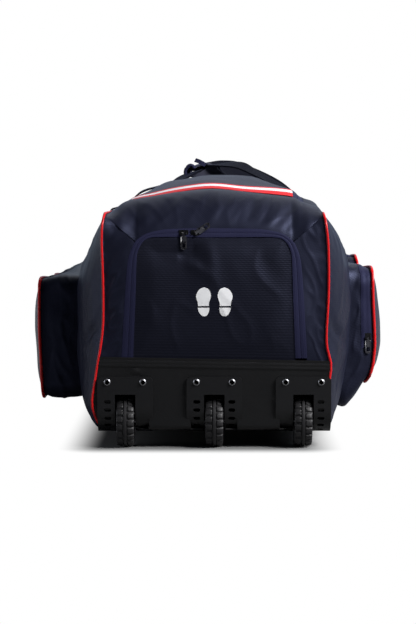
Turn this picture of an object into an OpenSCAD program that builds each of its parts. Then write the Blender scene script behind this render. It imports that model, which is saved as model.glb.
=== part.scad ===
// Wheeled kit bag: a swollen soft box with a zipped lid, a zipped shoe pocket in the wheel end, two zipped
// pockets on each side, webbing carry handles, a tow handle at the far end, three wheels and two skid feet.
// +X is to the right of someone facing the wheel end, +Y runs from the wheel end to the far end, +Z is up.
// The origin is on the floor, under the middle of the bag. Sizes are in millimetres.

/* [Body] */
// Length of the soft body from the wheel end to the far end
body_l = 880; // [840:10:920]
// Width between the pipings of an end panel at mid height
end_w = 334; // [328:2:340]
// Width between the pipings at the base
base_w = 368; // [366:1:372]
// How far each side panel swells out past its piping
side_bulge = 45; // [40:1:50]
// How far the pipings lean in at the top
top_lean = 4; // [2:1:8]
// Height of the base's underside above the floor
base_z = 27; // [26:1:28]
// Height of the piping along the top edges
shoulder_z = 356; // [352:1:360]
// Height of the lid where a ribbon crosses it
ribbon_z = 394; // [390:1:398]
// Height of the lid's crest
crest_z = 415; // [410:1:418]
// Thickness of a padded fabric panel
wall = 3; // [2.5:0.1:3.2]

/* [Piping] */
// Diameter of the red piping
piping_d = 5; // [4:0.5:5]

/* [Lid] */
// Width of the zipped lid, between the middles of its zip runs
lid_w = 260; // [254:2:266]
// Distance of the lid's zip from each end of the body
lid_inset = 95; // [90:1:100]
// Width of one striped ribbon
ribbon_w = 30; // [24:1:36]

/* [Shoe pocket] */
// Width between the middles of the zip's two legs
shoe_w = 254; // [250:1:258]
// Height of the middle of the zip's top run above the floor
shoe_top_z = 326; // [322:1:327]
// Radius of the zip's corners, at its middle
shoe_r = 44; // [36:1:45]
// Depth of the pocket behind the wheel end
shoe_depth = 150; // [120:5:180]
// Width of one half of a zip's tape
tape_w = 9.5; // [8:0.5:10]

/* [Side pockets] */
// Length of one side pocket
pocket_l = 296; // [280:2:300]
// Distance of the first pocket from the wheel end
pocket_d = 122; // [118:1:126]
// Gap between two pockets on one side
pocket_gap = 34; // [30:1:44]
// Distance of the left covers' seams from the bag's middle plane
left_pocket_x = 268; // [266:1:269]
// Distance of the right covers' seams from the bag's middle plane
right_pocket_x = 252; // [250:1:254]
// How far a left cover swells out past its seam
left_bulge = 10; // [8:1:10]
// How far a right cover swells out past its seam
right_bulge = 15; // [13:1:16]

/* [Wheels] */
// Diameter of a wheel
wheel_d = 78; // [76:1:80]
// Width of a tyre
tyre_w = 27; // [24:1:28]
// Distance between the middles of neighbouring wheels
wheel_pitch = 135; // [133:1:136]
// Width of a wheel plate
plate_w = 84; // [80:1:86]
// Height of a wheel plate's top edge above the floor
plate_top = 109; // [108:1:116]
// Thickness of a wheel plate
plate_t = 4; // [3:0.5:5]
// Diameter of an axle
axle_d = 6; // [5:0.5:7]

/* [Handles] */
// Width of the carry handles' webbing
strap_w = 38; // [34:1:40]
// Distance between the two legs of a carry handle
leg_pitch = 230; // [210:5:250]
// Length of the tow grip
tow_grip_l = 110; // [90:5:120]

/* [Hidden] */

$fn = 48;
navy = "#23243a";
indigo = "#2b2b4a";
red = "#e3242b";
vinyl_black = "#1c1c1e";
plastic_black = "#202022";
rubber_black = "#2a2a2c";
steel = "#b9b9bb";

// Frame of the body
wheel_r = wheel_d / 2;
axle_back = 24;
wheel_standoff = wheel_r - axle_back;
tow_out = 24;
tow_grip_r = 14;
mid_shift = (tow_out + tow_grip_r - wheel_standoff) / 2;
front_y = -body_l / 2 - mid_shift;
back_y = body_l / 2 - mid_shift;
mid_y = -mid_shift;

// Seams and corners
gap = 0.4;
seam = 3;
base_r = 36;
top_r = 24;
top_half = end_w / 2 - top_lean - seam;
vinyl_t = 2.5;
vinyl_top = 137.5;
panel_bottom = vinyl_top + 0.5;
panel_top = shoulder_z - 14;
side_power = 6;
height_power = 3.6;
dome_power = 3;

function smooth(a, b, t) = let (s = max(0, min(1, (t - a) / (b - a)))) s * s * (3 - 2 * s);
function mix(a, b, t) = a + (b - a) * t;
function unit(v) = v / norm(v);
function spaced(n) = [for (i = [0:n]) (1 - cos(180 * i / n)) / 2];
function swell(t, power) = 1 - pow(abs(2 * t - 1), power);

// Half the distance between the pipings at a height
function edge_half(z) = mix(base_w, end_w, smooth(70, 190, z)) / 2
    - top_lean * smooth(shoulder_z - 30, shoulder_z, z);

// Distance from a body end to the piping's outline, taken in by a seam, at a height
function outline_in(z, off) =
    let (high = shoulder_z - top_r, low = base_z + base_r)
    z > high ? top_r - sqrt(max(0, pow(top_r - off, 2) - pow(z - high, 2)))
    : z < low ? base_r - sqrt(max(0, pow(base_r - off, 2) - pow(low - z, 2)))
    : off;

// Outer face of a side panel
function side_x(y, z) = edge_half(z)
    + side_bulge * swell((y - front_y) / body_l, side_power)
    * swell((z - base_z - seam) / (shoulder_z - base_z - 2 * seam), height_power);

// Outer face of the top: a dome across the bag whose crest drops towards both ends
function crest(y) =
    let (d = min(y - front_y, back_y - y), t = max(0, min(1, (d - lid_inset) / 205)))
    mix(ribbon_z, crest_z, 1 - pow(1 - t, 2));
function dome(v) = 1 - pow(min(1, abs(v)), dome_power);
function top_z(x, y) = mix(shoulder_z, crest(y), dome(x / top_half));

// Grids of points and the sheets made from them. Rows crossed with columns point out of the bag
function normal_at(g, i, j) =
    let (
        r = len(g) - 1, c = len(g[0]) - 1,
        a = g[min(i + 1, r)][j] - g[max(i - 1, 0)][j],
        b = g[i][min(j + 1, c)] - g[i][max(j - 1, 0)]
    )
    unit(cross(a, b));
function lifted(g, h) =
    [for (i = [0:len(g) - 1]) [for (j = [0:len(g[0]) - 1]) g[i][j] + h * normal_at(g, i, j)]];
function quad(a, b, c, d) = [[a, b, c], [a, c, d]];

module sheet(outer, inner) {
    r = len(outer) - 1;
    c = len(outer[0]) - 1;
    n = (r + 1) * (c + 1);
    function o(i, j) = i * (c + 1) + j;
    function k(i, j) = n + o(i, j);
    faces = [
        for (i = [0:r - 1], j = [0:c - 1]) each quad(o(i, j), o(i, j + 1), o(i + 1, j + 1), o(i + 1, j)),
        for (i = [0:r - 1], j = [0:c - 1]) each quad(k(i, j), k(i + 1, j), k(i + 1, j + 1), k(i, j + 1)),
        for (i = [0:r - 1]) each quad(o(i, 0), o(i + 1, 0), k(i + 1, 0), k(i, 0)),
        for (i = [0:r - 1]) each quad(o(i + 1, c), o(i, c), k(i, c), k(i + 1, c)),
        for (j = [0:c - 1]) each quad(o(0, j + 1), o(0, j), k(0, j), k(0, j + 1)),
        for (j = [0:c - 1]) each quad(o(r, j), o(r, j + 1), k(r, j + 1), k(r, j))
    ];
    polyhedron([each for (row = outer) row, each for (row = inner) row], faces, convexity = 10);
}

module wall_sheet(g, t) {
    sheet(g, lifted(g, -t));
}

// A loft through rings of points, each ring anticlockwise when the next ring is nearer the eye
module loft(rings, closed = false) {
    m = len(rings);
    n = len(rings[0]);
    function at(k, i) = (k % m) * n + i % n;
    faces = [
        for (k = [0:m - (closed ? 1 : 2)], i = [0:n - 1])
            each quad(at(k, i), at(k + 1, i), at(k + 1, i + 1), at(k, i + 1)),
        if (!closed) [for (i = [0:n - 1]) i],
        if (!closed) [for (i = [n - 1:-1:0]) at(m - 1, i)]
    ];
    polyhedron([each for (ring = rings) ring], faces, convexity = 10);
}

// A flat strap along points, with a width direction at each point
function strap_ring(p, along, across, w, t) =
    let (a = unit(across) * w / 2, n = unit(cross(along, across)) * t / 2)
    [p - a - n, p + a - n, p + a + n, p - a + n];
function heading(path, i) = unit(path[min(i + 1, len(path) - 1)] - path[max(i - 1, 0)]);

module mirrored_left() {
    mirror([1, 0, 0]) children();
}

module at_far_end() {
    translate([0, mid_y, 0]) mirror([0, 1, 0]) translate([0, -mid_y, 0]) children();
}

// Extrudes a profile drawn in depth behind the wheel end and height, from one x to another
module across_x(x0, x1) {
    translate([x0, front_y, 0]) rotate([90, 0, 90]) linear_extrude(x1 - x0) children();
}

// Extrudes an outline drawn in x and height, backwards from a depth behind the wheel end
module back_from(d, t) {
    translate([0, front_y + d + t, 0]) rotate([90, 0, 0]) linear_extrude(t) children();
}

// Side panels and piping
side_grid = [for (u = spaced(20)) [for (v = spaced(18))
    let (
        z = mix(base_z + seam, shoulder_z - seam, v),
        in = outline_in(z, seam + gap),
        y = mix(front_y + in, back_y - in, u)
    )
    [side_x(y, z), y, z]]];

module side_panel() {
    color(navy) sheet(side_grid, [for (row = side_grid) [for (p = row) p - [wall, 0, 0]]]);
}

module left_side_panel() {
    mirrored_left() side_panel();
}

module right_side_panel() {
    side_panel();
}

// Outline of a side panel, as points in depth order round the loop
arc_steps = 6;
piping_path =
    let (lo = base_z + base_r, hi = shoulder_z - top_r)
    [
        for (i = [0:14]) let (z = mix(lo, hi, i / 14)) [front_y, z],
        for (i = [1:arc_steps]) let (a = 90 * i / arc_steps)
            [front_y + top_r * (1 - cos(a)), hi + top_r * sin(a)],
        for (i = [1:5]) [mix(front_y + top_r, back_y - top_r, i / 6), shoulder_z],
        for (i = [0:arc_steps]) let (a = 90 * i / arc_steps)
            [back_y - top_r * (1 - sin(a)), hi + top_r * cos(a)],
        for (i = [1:14]) let (z = mix(hi, lo, i / 14)) [back_y, z],
        for (i = [1:arc_steps]) let (a = 90 * i / arc_steps)
            [back_y - base_r * (1 - cos(a)), lo - base_r * sin(a)],
        for (i = [1:5]) [mix(back_y - base_r, front_y + base_r, i / 6), base_z],
        for (i = [0:arc_steps - 1]) let (a = 90 * i / arc_steps)
            [front_y + base_r * (1 - sin(a)), lo - base_r * cos(a)]
    ];
piping_sides = 8;

module piping() {
    n = len(piping_path);
    points = [for (p = piping_path) [edge_half(p[1]), p[0], p[1]]];
    rings = [for (i = [0:n - 1])
        let (
            along = unit(points[(i + 1) % n] - points[(i + n - 1) % n]),
            a = unit(cross(along, [1, 0, 0])),
            b = cross(along, a)
        )
        [for (k = [0:piping_sides - 1])
            points[i] + piping_d / 2 * (a * cos(360 * k / piping_sides) + b * sin(360 * k / piping_sides))]];
    color(red) loft(rings, closed = true);
}

module left_piping() {
    mirrored_left() piping();
}

module right_piping() {
    piping();
}

// Wheel-end wrap: a wall down the end, round the base corner and under the base
wrap_steps = 8;

function wrap_arc(off) = [for (i = [0:wrap_steps]) let (a = 90 * i / wrap_steps)
    [base_r - (base_r + off) * cos(a), base_z + base_r - (base_r + off) * sin(a)]];
function reversed(list) = [for (i = [len(list) - 1:-1:0]) list[i]];

// Band between two offsets out of the vinyl's outer face
module wrap_band(near, far, top, run) {
    polygon(concat(
        [[-far, top]], wrap_arc(far), [[run, base_z - far], [run, base_z - near]],
        reversed(wrap_arc(near)), [[-near, top]]
    ));
}

// Everything inside an offset of the vinyl's outer face
module wrap_fill(off, top, run) {
    polygon(concat([[-off, top]], wrap_arc(off), [[run, base_z - off], [run, top]]));
}

vinyl_run = 120;
wheel_slot_w = tyre_w + 4;
wheel_slot_top = wheel_d + 4;
wheel_slot_run = axle_back + wheel_r + 4;
wheel_xs = [-wheel_pitch, 0, wheel_pitch];
screw_dx = 27;
screw_z = 101;
screw_r = 2;
foot_x = 120;
foot_back = 70;
foot_screw_dy = 39;

module wheel_slots(half_w) {
    for (x = wheel_xs)
        translate([x - half_w, front_y - 20, -1])
            cube([2 * half_w, 20 + wheel_slot_run, wheel_slot_top + 1]);
}

module plate_screw_holes(r) {
    for (x = wheel_xs, dx = [-screw_dx, screw_dx])
        translate([x + dx, front_y - 20, screw_z]) rotate([-90, 0, 0]) cylinder(r = r, h = 40);
}

module foot_screw_holes(r) {
    for (x = [-foot_x, foot_x], dy = [-foot_screw_dy, foot_screw_dy])
        translate([x, back_y - foot_back + dy, base_z - 20]) cylinder(r = r, h = 40);
}

// The vinyl narrows with the pipings towards its top
module vinyl_outline() {
    zs = [0, 70, 85, 100, 115, 130, 145];
    polygon(concat(
        [for (z = zs) [edge_half(z) - seam, z]],
        [for (z = reversed(zs)) [seam - edge_half(z), z]]
    ));
}

module wheel_end_vinyl() {
    color(vinyl_black) difference() {
        intersection() {
            across_x(-base_w / 2, base_w / 2) wrap_band(-vinyl_t, 0, vinyl_top, vinyl_run);
            back_from(-10, vinyl_run + 20) vinyl_outline();
        }
        wheel_slots(wheel_slot_w / 2 + 4);
        plate_screw_holes(screw_r + 0.3);
    }
}

far_wrap_top = 96;

module base_panel() {
    color(vinyl_black) difference() {
        union() {
            translate([-base_w / 2 + seam, front_y + vinyl_run + gap, base_z])
                cube([base_w - 2 * seam, body_l - vinyl_run - gap - base_r, vinyl_t]);
            at_far_end() intersection() {
                across_x(-base_w / 2, base_w / 2) wrap_band(-vinyl_t, 0, far_wrap_top, base_r);
                back_from(-10, base_r + 20) vinyl_outline();
            }
        }
        foot_screw_holes(screw_r + 0.3);
    }
}

board_t = 4;
board_half = 150;

module base_board() {
    color(plastic_black) difference() {
        translate([-board_half, front_y + wheel_slot_run + 12, base_z + vinyl_t + gap])
            cube([2 * board_half, body_l - wheel_slot_run - 12 - base_r - 6, board_t]);
        foot_screw_holes(screw_r + 0.3);
    }
}

// Flat end panels and the shoe pocket that opens in the wheel end
module end_outline(low) {
    zs = [for (i = [0:16]) mix(low, panel_top, i / 16)];
    polygon(concat(
        [for (z = zs) [edge_half(z) - seam, z]],
        [for (z = reversed(zs)) [seam - edge_half(z), z]]
    ));
}

// Upright arch as wide as the shoe pocket's zip, let out or in by an offset
module shoe_arch(off) {
    half = shoe_w / 2 + off;
    top = shoe_top_z + off;
    r = shoe_r + off;
    translate([-half, panel_bottom]) square([2 * half, top - r - panel_bottom]);
    translate([-half + r, panel_bottom]) square([2 * (half - r), top - panel_bottom]);
    for (x = [-half + r, half - r]) translate([x, top - r]) circle(r);
}

module shoe_arch_ring(inner, outer) {
    difference() {
        shoe_arch(outer);
        shoe_arch(inner);
    }
}

module wheel_end_panel() {
    color(navy) back_from(0, wall) difference() {
        end_outline(panel_bottom);
        shoe_arch(tape_w + gap);
    }
}

module shoe_zip_outer_tape() {
    color(indigo) back_from(0.4, wall - 0.8) shoe_arch_ring(gap, tape_w);
}

module shoe_zip_inner_tape() {
    color(indigo) back_from(0.4, wall - 0.8) shoe_arch_ring(-tape_w, -gap);
}

module shoe_pocket_flap() {
    color(navy) back_from(0, wall) shoe_arch(-tape_w - gap);
}

liner_t = 1.5;
liner_half = shoe_w / 2 + 3;
liner_top = shoe_top_z + 3;

module shoe_pocket_liner() {
    front = front_y + wall + gap;
    color(navy) difference() {
        translate([-liner_half - liner_t, front, panel_bottom])
            cube([2 * (liner_half + liner_t), shoe_depth, liner_top + liner_t - panel_bottom]);
        translate([-liner_half, front - 1, panel_bottom + liner_t])
            cube([2 * liner_half, shoe_depth + 1 - liner_t, liner_top - panel_bottom - liner_t]);
    }
}

module far_end_panel() {
    color(navy) at_far_end() back_from(0, wall) end_outline(far_wrap_top + 0.5);
}

// Shoulders: from an end panel's top edge, back and up to the lid's zip
shoulder_start = panel_top + 1.8;
shoulder_end = lid_inset - tape_w - 1;
edge_start = asin((shoulder_start - shoulder_z + top_r) / top_r);
edge_arc = top_r * (90 - edge_start) * PI / 180;
edge_run = shoulder_end - top_r;

function shoulder_edge(u) =
    let (s = u * (edge_arc + edge_run), a = edge_start + s / top_r * 180 / PI)
    s < edge_arc
        ? [top_r * (1 - cos(a)), shoulder_z - top_r + top_r * sin(a)]
        : [top_r + s - edge_arc, shoulder_z];

// Crest of the shoulder, a curve that leaves the end panel steeply and reaches the lid's zip nearly level
shoulder_bend = [16, shoulder_z + 22];

function shoulder_crest(u) =
    let (
        end = [shoulder_end, ribbon_z - 2],
        a = mix([0, shoulder_start], shoulder_bend, u),
        b = mix(shoulder_bend, end, u)
    )
    mix(a, b, u);

module shoulder() {
    grid = [for (v = [-1:1 / 7:1.001]) [for (i = [0:8])
        let (
            edge = shoulder_edge(i / 8),
            p = mix(edge, shoulder_crest(i / 8), dome(v))
        )
        [v * (edge_half(edge[1]) - seam), front_y + p[0], p[1]]]];
    color(navy) wall_sheet(grid, wall);
}

module wheel_end_shoulder() {
    shoulder();
}

module far_end_shoulder() {
    at_far_end() shoulder();
}

// Patches of the domed top between two x and two y
function steps(a, b, n) = [for (i = [0:n]) mix(a, b, i / n)];
function top_grid(x0, x1, nx, y0, y1, ny) =
    [for (x = steps(x0, x1, nx)) [for (v = spaced(ny)) let (y = mix(y0, y1, v)) [x, y, top_z(x, y)]]];

module top_patch(x0, x1, nx, y0, y1, ny, t, lift = 0) {
    g = top_grid(x0, x1, nx, y0, y1, ny);
    sheet(lifted(g, lift), lifted(g, lift - t));
}

lid_half = lid_w / 2;
lid_front = front_y + lid_inset;
lid_back = back_y - lid_inset;
lid_ny = 14;

module top_rails() {
    edge = lid_half + tape_w + gap;
    color(navy) {
        top_patch(edge, top_half, 3, lid_front - tape_w, lid_back + tape_w, lid_ny, wall);
        top_patch(-top_half, -lid_half - gap, 4, lid_front - tape_w, lid_back + tape_w, lid_ny, wall);
    }
}

module lid_zip_outer_tape() {
    t = wall - 1;
    ends = [lid_front - tape_w, lid_back + tape_w];
    color(indigo) {
        top_patch(lid_half + gap, lid_half + tape_w, 1, ends[0], ends[1], lid_ny, t, -0.4);
        top_patch(-lid_half, lid_half, 8, lid_front - tape_w + gap, lid_front - gap, 1, t, -0.4);
        top_patch(-lid_half, lid_half, 8, lid_back + gap, lid_back + tape_w - gap, 1, t, -0.4);
    }
}

module lid_zip_inner_tape() {
    t = wall - 1;
    near = lid_half - tape_w;
    color(indigo) {
        top_patch(near, lid_half - gap, 1, lid_front + gap, lid_back - gap, lid_ny, t, -0.4);
        top_patch(-lid_half + gap, near - gap, 8, lid_front + gap, lid_front + tape_w, 1, t, -0.4);
        top_patch(-lid_half + gap, near - gap, 8, lid_back - tape_w, lid_back - gap, 1, t, -0.4);
    }
}

module lid_panel() {
    color(navy)
        top_patch(
            -lid_half + gap, lid_half - tape_w - gap, 10,
            lid_front + tape_w + gap, lid_back - tape_w - gap, lid_ny, wall
        );
}

ribbon_t = 0.8;

module striped_ribbons() {
    start = lid_inset + tape_w + 1;
    color(red) {
        top_patch(
            -lid_half + 2, lid_half - tape_w - 2, 10, front_y + start, front_y + start + ribbon_w, 2,
            ribbon_t, ribbon_t + gap
        );
        top_patch(
            -lid_half + 2, lid_half - tape_w - 2, 10, back_y - start - ribbon_w, back_y - start, 2,
            ribbon_t, ribbon_t + gap
        );
    }
}

// Zip sliders and pulls, drawn on a tape that lies in the plane of x and z and faces -y.
// The zip runs along z, or along x where zip_turn is 90, and the pull turns on a pin between two lugs
slider_l = 14;
slider_w = 10;
slider_h = 3;
pin_r = 0.85;
pin_out = 4.6;
lug_t = 1.6;
lug_dx = 3;
pull_l = 25;
pull_w = 9;
pull_t = 2;

module slider_body(zip_turn = 0, lug_turn = 0) {
    color(plastic_black) difference() {
        union() {
            rotate([0, zip_turn, 0]) translate([-slider_w / 2, -slider_h, -slider_l / 2])
                cube([slider_w, slider_h - 0.4, slider_l]);
            rotate([0, lug_turn, 0]) for (side = [-1, 1])
                translate([side * lug_dx - lug_t / 2, -pin_out - 1.8, -2.2]) cube([lug_t, pin_out, 4.4]);
        }
        rotate([0, lug_turn, 0]) translate([-10, -pin_out, 0]) rotate([0, 90, 0])
            cylinder(r = pin_r + 0.06, h = 20);
    }
}

// The pull hangs down from its pin, with a window near its lower end
module pull_tab(lug_turn = 0) {
    neck = lug_dx - lug_t / 2 - 0.25;
    pin_half = lug_dx + lug_t / 2 + 0.3;
    round_z = -pull_l + pull_w / 2;
    color(plastic_black) rotate([0, lug_turn, 0]) translate([0, -pin_out, 0]) {
        translate([-pin_half, 0, 0]) rotate([0, 90, 0]) cylinder(r = pin_r, h = 2 * pin_half);
        difference() {
            union() {
                translate([-neck, -pull_t / 2, -5]) cube([2 * neck, pull_t, 6]);
                translate([-pull_w / 2, -pull_t / 2, round_z]) cube([pull_w, pull_t, -4.5 - round_z]);
                translate([0, pull_t / 2, round_z]) rotate([90, 0, 0]) cylinder(d = pull_w, h = pull_t);
            }
            translate([-2.2, -2, -pull_l + 3.5]) cube([4.4, 4, 6]);
        }
    }
}

// Two sliders on the top run of the shoe pocket's zip
shoe_left_x = -46;
shoe_right_x = -28;
shoe_right_turn = -123;

module on_shoe_zip(x) {
    translate([x, front_y + 0.3, shoe_top_z]) children();
}

module shoe_slider_left() {
    on_shoe_zip(shoe_left_x) slider_body(90);
}

module shoe_slider_right() {
    on_shoe_zip(shoe_right_x) slider_body(90, shoe_right_turn);
}

module shoe_pull_left() {
    on_shoe_zip(shoe_left_x) pull_tab();
}

module shoe_pull_right() {
    on_shoe_zip(shoe_right_x) pull_tab(shoe_right_turn);
}

// Two sliders on the lid's long zip run, each in one piece with its pull
lid_slider_dy = 14;
lid_zip_slope = atan((top_z(lid_half + 1, mid_y) - top_z(lid_half - 1, mid_y)) / 2);

module lid_slider(side) {
    translate([lid_half, mid_y + side * lid_slider_dy, top_z(lid_half, mid_y) + 0.3])
        rotate([0, -lid_zip_slope, 0]) rotate([-90, 0, side > 0 ? 180 : 0]) {
            slider_body();
            pull_tab();
        }
}

module lid_slider_near() {
    lid_slider(-1);
}

module lid_slider_far() {
    lid_slider(1);
}

// Side pockets. A gusset leaves the side panel along one outline and meets its cover along another
pocket_half = pocket_l / 2;
pocket_r = 24;
gusset_t = 2.5;
cover_t = 2.5;
front_pocket_y = front_y + pocket_d + pocket_half;
rear_pocket_y = front_pocket_y + pocket_l + pocket_gap;

// Heights of a pocket's bottom and top at the side panel and at the cover
left_front_z = [66, 255, 66, 251];
left_rear_z = [66, 282, 68, 247];
right_front_z = [56, 277, 92, 269];
right_rear_z = [58, 282, 88, 276];

// Spot at a turn round one corner of a rounded rectangle, and the whole outline with spots along its sides
function corner_spot(cy, low, high, half, r, c, a) =
    let (y = c == 0 || c == 3 ? half - r : r - half, z = c < 2 ? high - r : low + r)
    [cy + y + r * cos(a), z + r * sin(a)];
function rounded(cy, low, high, half, r, n, m) =
    [for (c = [0:3]) let (
        a = corner_spot(cy, low, high, half, r, c, 90 * (c + 1)),
        b = corner_spot(cy, low, high, half, r, (c + 1) % 4, 90 * (c + 1))
    )
    each concat(
        [for (i = [0:n]) corner_spot(cy, low, high, half, r, c, 90 * (c + i / n))],
        [for (k = [1:m]) mix(a, b, k / (m + 1))]
    )];

module gusset(cy, zs, seam_x) {
    function outline(low, high, in) =
        rounded(cy, low + in, high - in, pocket_half - in, pocket_r - in, 4, 6);
    outer_wall = outline(zs[0], zs[1], 0);
    inner_wall = outline(zs[0], zs[1], gusset_t);
    outer_seam = outline(zs[2], zs[3], 0);
    inner_seam = outline(zs[2], zs[3], gusset_t);
    function on_side(p) = [side_x(p[0], p[1]) + 1.6, p[0], p[1]];
    function on_seam(p) = [seam_x - gap, p[0], p[1]];
    color(navy) loft([for (i = [0:len(outer_wall) - 1])
        [on_side(outer_wall[i]), on_seam(outer_seam[i]), on_seam(inner_seam[i]), on_side(inner_wall[i])]],
        closed = true);
}

module cover(cy, zs, seam_x, bulge) {
    function edge_in(z) =
        z > zs[3] - pocket_r ? pocket_r - sqrt(max(0, pow(pocket_r, 2) - pow(z - zs[3] + pocket_r, 2)))
        : z < zs[2] + pocket_r ? pocket_r - sqrt(max(0, pow(pocket_r, 2) - pow(zs[2] + pocket_r - z, 2)))
        : 0;
    grid = [for (u = spaced(10)) [for (v = spaced(10))
        let (z = mix(zs[2], zs[3], v), half = pocket_half - edge_in(z), y = cy + mix(-half, half, u))
        [seam_x + cover_t + bulge * (1 - pow(2 * u - 1, 4)) * (1 - pow(2 * v - 1, 4)), y, z]]];
    color(navy) sheet(grid, [for (row = grid) [for (p = row) p - [cover_t, 0, 0]]]);
}

// Sliders at the lower end of the zip, on the gusset's wheel-end side or, on the rear pockets, its far side
pocket_slider_z = 160;
pocket_slider_in = tape_w + 1;

module on_pocket_zip(cy, seam_x, facing) {
    translate([seam_x - pocket_slider_in, cy + facing * (pocket_half + 0.3), pocket_slider_z])
        rotate([0, 0, facing > 0 ? 180 : 0]) children();
}

module left_front_gusset() {
    mirrored_left() gusset(front_pocket_y, left_front_z, left_pocket_x);
}

module left_front_cover() {
    mirrored_left() cover(front_pocket_y, left_front_z, left_pocket_x, left_bulge);
}

module left_front_slider() {
    mirrored_left() on_pocket_zip(front_pocket_y, left_pocket_x, 1) {
        slider_body();
        pull_tab();
    }
}

module left_rear_gusset() {
    mirrored_left() gusset(rear_pocket_y, left_rear_z, left_pocket_x);
}

module left_rear_cover() {
    mirrored_left() cover(rear_pocket_y, left_rear_z, left_pocket_x, left_bulge);
}

module left_rear_slider() {
    mirrored_left() on_pocket_zip(rear_pocket_y, left_pocket_x, 1) {
        slider_body();
        pull_tab();
    }
}

module right_front_gusset() {
    gusset(front_pocket_y, right_front_z, right_pocket_x);
}

module right_front_cover() {
    cover(front_pocket_y, right_front_z, right_pocket_x, right_bulge);
}

module right_front_slider() {
    on_pocket_zip(front_pocket_y, right_pocket_x, -1) slider_body();
}

module right_front_pull() {
    on_pocket_zip(front_pocket_y, right_pocket_x, -1) pull_tab();
}

module right_rear_gusset() {
    gusset(rear_pocket_y, right_rear_z, right_pocket_x);
}

module right_rear_cover() {
    cover(rear_pocket_y, right_rear_z, right_pocket_x, right_bulge);
}

module right_rear_slider() {
    on_pocket_zip(rear_pocket_y, right_pocket_x, 1) {
        slider_body();
        pull_tab();
    }
}

// Carry handles: a leg up from each shoulder anchor, joined by a grip that runs along the bag
strap_t = 3;
pivot_x = edge_half(shoulder_z) + 5;
pivot_z = shoulder_z + 12;
handle_slope = 0.65;
handle_bend = 45;
right_grip_x = 22;
left_grip_x = 26;
right_grip_z = 437;
left_grip_z = 430;

// Height of a strap over the bag's half, rising from the pivot and levelling at the grip
function strap_z(x, grip_z) =
    let (rise = pivot_z + (pivot_x - x) * handle_slope, over = rise - grip_z + 8)
    over < 0 ? rise : over < 16 ? rise - over * over / 32 : grip_z;

function handle_plan(grip_x) =
    let (leg = leg_pitch / 2, far = grip_x + handle_bend)
    [
        for (i = [0:8]) [mix(pivot_x, far, i / 8), -leg],
        for (i = [1:6]) let (a = 15 * i) [far - handle_bend * sin(a), -leg + handle_bend * (1 - cos(a))]
    ];

module handle(grip_x, grip_z) {
    half = handle_plan(grip_x);
    plan = concat(half, [for (p = reversed(half)) [p[0], -p[1]]]);
    path = [for (p = plan) [p[0], mid_y + p[1], strap_z(p[0], grip_z)]];
    color(navy) loft([for (i = [0:len(path) - 1])
        let (along = heading(path, i), flat = [along[0], along[1], 0], across = cross(flat, [0, 0, 1]))
        strap_ring(path[i], along, across, strap_w, strap_t)]);
}

module left_handle() {
    mirrored_left() handle(left_grip_x, left_grip_z);
}

module right_handle() {
    handle(right_grip_x, right_grip_z);
}

// Grip wrap: a padded trough under the left handle's grip, unfastened, with both wings standing
wrap_half_l = 62;
wrap_a = 26;
wrap_b = 15;
wrap_t = 3.5;

module handle_wrap() {
    x = -left_grip_x;
    z = left_grip_z + 6;
    function at(a, grow) = [x + (wrap_a + grow) * cos(a), z + (wrap_b + grow) * sin(a)];
    turns = [for (i = [0:12]) -195 + 210 * i / 12];
    section = concat([for (a = turns) at(a, wrap_t / 2)], [for (a = reversed(turns)) at(a, -wrap_t / 2)]);
    color(navy) translate([0, mid_y + wrap_half_l, 0]) rotate([90, 0, 0])
        linear_extrude(2 * wrap_half_l) polygon(section);
}

// Webbing sewn down each side panel, over the piping, up to the handles
module webbing_anchors() {
    tow_anchor_z = tow_pivot_z + 4;
    edge = edge_half(shoulder_z);
    for (side = [-1, 1], dy = [-leg_pitch / 2, leg_pitch / 2]) {
        y = mid_y + dy;
        path = [
            for (drop = [58, 50, 42, 34, 26, 19, 13]) let (
                z = shoulder_z - drop,
                out = unit([1, 0, (side_x(y, z - 1) - side_x(y, z + 1)) / 2]) * (strap_t / 2 + 1.2)
            )
            [side * (side_x(y, z) + out[0]), y, z + out[2]],
            [side * (edge + 7), y, shoulder_z - 2],
            [side * (edge + 6.5), y, shoulder_z + 3],
            [side * (edge + 4.5), y, shoulder_z + 7]
        ];
        color(navy) loft([for (i = [0:len(path) - 1])
            strap_ring(path[i], heading(path, i), [0, 1, 0], strap_w, strap_t)]);
    }
    for (side = [-1, 1])
        color(navy) translate([side * tow_leg_x - tow_strap_w / 2, back_y + gap, tow_anchor_z])
            cube([tow_strap_w, strap_t, 42]);
}

// Tow handle: a strap that hangs from two anchors on the far end, through a moulded grip
tow_leg_x = 85;
tow_strap_w = 22;
tow_pivot_z = 286;
tow_grip_z = 226;
tow_bend = 25;

function tow_y(z) = back_y + mix(tow_out, 5, smooth(tow_grip_z, tow_pivot_z, z));

module tow_strap() {
    bend = [for (i = [0:6]) let (a = 15 * i)
        [tow_leg_x - tow_bend * (1 - cos(a)), tow_grip_z + tow_bend * (1 - sin(a))]];
    half = concat([for (i = [0:3]) [tow_leg_x, mix(tow_pivot_z, tow_grip_z + tow_bend, i / 4)]], bend);
    plan = concat(half, [for (p = reversed(half)) [-p[0], p[1]]]);
    path = [for (p = plan) [p[0], tow_y(p[1]), p[1]]];
    color(navy) loft([for (i = [0:len(path) - 1])
        let (along = heading(path, i), across = cross([0, 1, 0], along))
        strap_ring(path[i], along, across, tow_strap_w, strap_t)]);
}

module tow_grip() {
    color(plastic_black) translate([-tow_grip_l / 2, back_y + tow_out, tow_grip_z]) difference() {
        rotate([0, 90, 0]) cylinder(r = tow_grip_r, h = tow_grip_l);
        translate([-1, -strap_t / 2 - 0.5, -tow_strap_w / 2 - 0.5])
            cube([tow_grip_l + 2, strap_t + 1, tow_strap_w + 1]);
    }
}

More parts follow.
